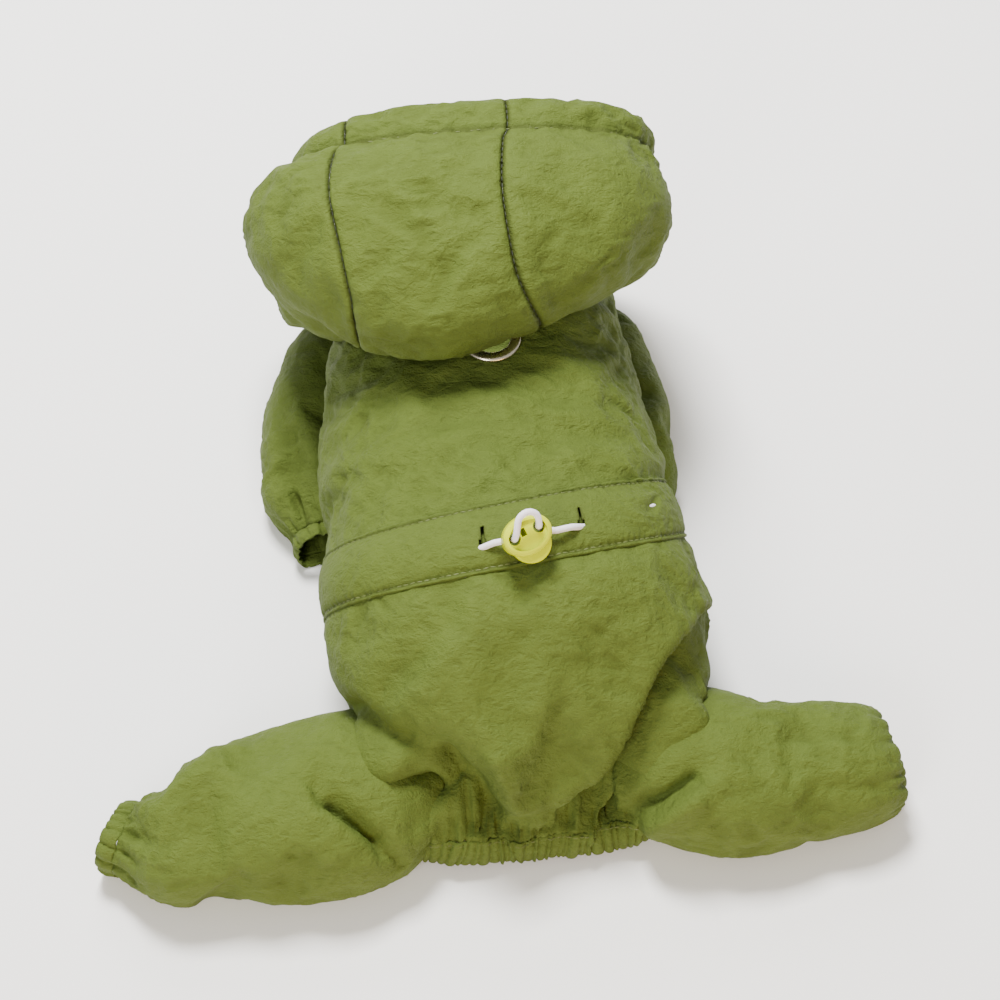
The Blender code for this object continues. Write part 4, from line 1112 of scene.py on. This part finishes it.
class JUMPSUIT_OT_lock(bpy.types.Operator):
    """Make the two-hole cord lock and its push button"""
    bl_idname = "jumpsuit.lock"
    bl_label = "Cord Lock"

    def execute(self, context):
        body = bmesh.new()
        oval(body, 10.0, 7.8, 0, 9.0)
        round_rim(body, 9.0, 2.2, 6)
        round_rim(body, 0, 0.8, 3)
        dish = bmesh.new()
        oval(dish, 7.9, 5.6, 7.9, 12)
        holes = []
        for side in (-1, 1):
            hole = bmesh.new()
            oval(hole, 2.4, 2.4, -3, 12, 1.0, 32)
            bmesh.ops.translate(hole, verts=hole.verts[:], vec=(side * 5.35, 0, 0))
            holes.append(hole)
            mouth = bmesh.new()
            oval(mouth, 3.4, 3.4, -3, 1.4, 1.0, 32)
            bmesh.ops.translate(mouth, verts=mouth.verts[:], vec=(side * 5.35, 0, 0))
            holes.append(mouth)
        slot = bmesh.new()
        bmesh.ops.create_cube(slot, size=1, matrix=Matrix.Translation((-1.2, 1.8, 8)) @ Matrix.Diagonal((2.2, 3.0, 9, 1)))
        pocket = bmesh.new()
        button_shape(pocket, 8.3, -2.8, 1.8, 6.6)
        body = carve(body, dish, slot, pocket, *holes)
        piece = finish_hard("lock_body", body, "yellow plastic", lock_frame())
        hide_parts("cord_lock_body")
        button = bmesh.new()
        button_shape(button, 8.0, -3.1, 2.1, 6.3, 0.7)
        piece = finish_hard("lock_button", button, "yellow plastic", lock_frame())
        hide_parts("cord_lock_button")
        return {'FINISHED'}


def button_shape(model, radius, back_y, low, high, rounding=0.0):
    """A round block with its forward part cut off square."""
    oval(model, radius, radius, low, high, -3.3)
    if rounding:
        round_rim(model, high, rounding, 4)
    cut = bmesh.ops.bisect_plane(model, geom=model.verts[:] + model.edges[:] + model.faces[:],
                                 plane_co=(0, back_y, 0), plane_no=(0, 1, 0), clear_outer=True)
    rim = [part for part in cut["geom_cut"] if isinstance(part, bmesh.types.BMEdge)]
    bmesh.ops.holes_fill(model, edges=rim)


def sew(name, spots, normals, length, gap, radius, material, sink=0.0, lean=0.0):
    """A row of stitches along points in millimetres, one small spindle each, tilted a little by turns."""
    model = bmesh.new()
    walked = np.concatenate(([0], np.cumsum(np.linalg.norm(np.diff(spots, axis=0), axis=1))))
    pitch = length + gap
    for number in range(int(walked[-1] / pitch)):
        start, end = number * pitch, number * pitch + length
        ends = [np.array([np.interp(way, walked, spots[:, axis]) for axis in range(3)]) for way in (start, end)]
        middle = (start + end) / 2
        up = Vector([np.interp(middle, walked, normals[:, axis]) for axis in range(3)]).normalized()
        run = Vector(ends[1] - ends[0]).normalized()
        side = up.cross(run).normalized()
        run = (run + side * lean * (1 if number % 2 else -1)).normalized()
        side = up.cross(run).normalized()
        place = Matrix((run, side, run.cross(side))).transposed().to_4x4()
        place.translation = Vector((ends[0] + ends[1]) / 2) - up * sink
        size = Matrix.Diagonal((length / 2, radius, radius * 0.8, 1))
        bmesh.ops.create_uvsphere(model, u_segments=6, v_segments=4, radius=1,
                                  matrix=place @ size @ Matrix.Rotation(math.pi / 2, 4, 'Y'))
    bmesh.ops.translate(model, verts=model.verts[:], vec=SHIFT)
    return finish_hard(name, model, material)


class JUMPSUIT_OT_stitches(bpy.types.Operator):
    """Sew the rows of stitches that show on the hood, the tunnel and the hem"""
    bl_idname = "jumpsuit.stitches"
    bl_label = "Stitches"

    def execute(self, context):
        sizes = context.scene.jumpsuit_sizes
        stitch = sizes.stitch_length

        def row(name, shape, turn, along, facing, material, radius, crinkle=1.0, gap=0.7, lean=0.0, sink=0.0):
            normals = outward(shape, turn, along, facing, 0.0015)
            spots = shape(turn, along)
            spots = spots + normals * (crumple(spots, sizes.crinkle * crinkle * 0.5))[:, None]
            return sew(name, spots, normals, stitch, gap, radius, material, sink, lean)

        for name, share in (("tunnel_stitch_front", 2.6 / 36), ("tunnel_stitch_rear", 1 - 2.6 / 36)):
            turn = np.linspace(-0.265, 0.265, 500)
            row(name, tunnel_shape, turn, share + 0 * turn, 1, "green thread", 0.42, 0.5, lean=0.12, gap=0.6)
        along = np.linspace(0.2, 1.0, 500)
        seams = smooth_rows(HOOD_SEAMS, along)
        for name, turn in (("hood_seam_left", seams.left_turn), ("hood_seam_right", seams.right_turn)):
            row(name, hood_shape, turn, along, -1, "dark thread", 0.32, gap=0.9)
        turn = np.linspace(-0.42, 0.42, 900)
        row("hood_rim_stitch", hood_shape, turn, RIM_STITCH + 0 * turn, -1, "green thread", 0.36, lean=0.12)
        turn = np.linspace(-0.16, 0.19, 500)
        row("hem_stitch", hem_shape, turn, 1.006 + 0 * turn, 1, "green thread", 0.3, 0.3, gap=0.8)
        return {'FINISHED'}


class JUMPSUIT_OT_finishes(bpy.types.Operator):
    """Make the materials of the nylon, threads, plastic, cord and metal"""
    bl_idname = "jumpsuit.finishes"
    bl_label = "Materials"

    def execute(self, context):
        colours = context.scene.jumpsuit_colours
        make_nylon(colours)
        make_thread("green thread", colours.thread)
        make_thread("dark thread", colours.seam_thread)
        make_plastic(colours)
        make_elastic(colours)
        make_steel(colours)
        return {'FINISHED'}


class JUMPSUIT_OT_stage(bpy.types.Operator):
    """Make the camera, the soft lights and the pale floor"""
    bl_idname = "jumpsuit.stage"
    bl_label = "Stage"

    def execute(self, context):
        scene = context.scene
        camera = bpy.data.objects.new("camera", bpy.data.cameras.new("camera"))
        camera.data.lens = 94.286
        camera.data.sensor_width = 36
        camera.data.clip_end = 20
        camera.location = (-0.04218, -0.62786, 0.94607)
        camera.rotation_euler = (Vector((0.00952, 0.00095, 0.045)) - camera.location).to_track_quat('-Z', 'Y').to_euler()
        scene.collection.objects.link(camera)
        scene.camera = camera

        model = bmesh.new()
        bmesh.ops.create_grid(model, x_segments=1, y_segments=1, size=4)
        mesh = bpy.data.meshes.new("floor")
        model.to_mesh(mesh)
        model.free()
        floor = bpy.data.objects.new("floor", mesh)
        floor.location.z = -0.0002
        scene.collection.objects.link(floor)
        finish = Finish("pale floor")
        cloud = finish.noise(3.0, 2.0)
        finish.feed(finish.shader, {"Base Color": finish.mix(cloud, (0.88, 0.88, 0.88, 1), (0.91, 0.91, 0.91, 1)),
                                    "Roughness": 0.9})
        mesh.materials.append(finish.material)

        world = bpy.data.worlds.new("studio")
        world.use_nodes = True
        world.node_tree.nodes["Background"].inputs["Color"].default_value = (1.0, 0.99, 0.97, 1)
        world.node_tree.nodes["Background"].inputs["Strength"].default_value = 0.55
        scene.world = world
        lights = (
            ("key", (-0.15, 0.5, 1.35), 0.4, 50, (1.0, 0.99, 0.96)),
            ("back light", (-0.2, 1.3, 1.0), 0.8, 16, (1.0, 0.98, 0.95)),
            ("front fill", (-0.55, -1.1, 0.85), 0.5, 14, (1.0, 0.97, 0.90)),
            ("warm fill", (0.3, -1.2, 0.25), 0.7, 10, (1.0, 0.60, 0.20)),
        )
        for name, place, size, power, colour in lights:
            lamp = bpy.data.lights.new(name, 'AREA')
            lamp.size, lamp.energy, lamp.color = size, power, colour
            light = bpy.data.objects.new(name, lamp)
            light.location = place
            light.rotation_euler = (Vector((0, 0, 0.05)) - light.location).to_track_quat('-Z', 'Y').to_euler()
            scene.collection.objects.link(light)
        return {'FINISHED'}


class JUMPSUIT_PT_panel(bpy.types.Panel):
    bl_idname = "JUMPSUIT_PT_panel"
    bl_label = "Dog Jumpsuit"
    bl_space_type = 'VIEW_3D'
    bl_region_type = 'UI'
    bl_category = "Jumpsuit"

    def draw(self, context):
        for group in (context.scene.jumpsuit_sizes, context.scene.jumpsuit_colours):
            box = self.layout.box()
            for key in group.bl_rna.properties.keys():
                if key not in {"rna_type", "name"}:
                    box.prop(group, key)
        for operator in OPERATORS:
            self.layout.operator(operator.bl_idname)


OPERATORS = (JUMPSUIT_OT_stage, JUMPSUIT_OT_finishes, JUMPSUIT_OT_cord, JUMPSUIT_OT_body, JUMPSUIT_OT_hood,
             JUMPSUIT_OT_limbs, JUMPSUIT_OT_eyelet, JUMPSUIT_OT_lock, JUMPSUIT_OT_stitches)
CLASSES = (JumpsuitSizes, JumpsuitColours, *OPERATORS, JUMPSUIT_PT_panel)


def register():
    for cls in CLASSES:
        bpy.utils.register_class(cls)
    bpy.types.Scene.jumpsuit_sizes = bpy.props.PointerProperty(type=JumpsuitSizes)
    bpy.types.Scene.jumpsuit_colours = bpy.props.PointerProperty(type=JumpsuitColours)


def unregister():
    del bpy.types.Scene.jumpsuit_colours
    del bpy.types.Scene.jumpsuit_sizes
    for cls in reversed(CLASSES):
        bpy.utils.unregister_class(cls)


def main():
    register()
    for operator in OPERATORS:
        group, name = operator.bl_idname.split(".")
        getattr(getattr(bpy.ops, group), name)()


if __name__ == "__main__":
    main()
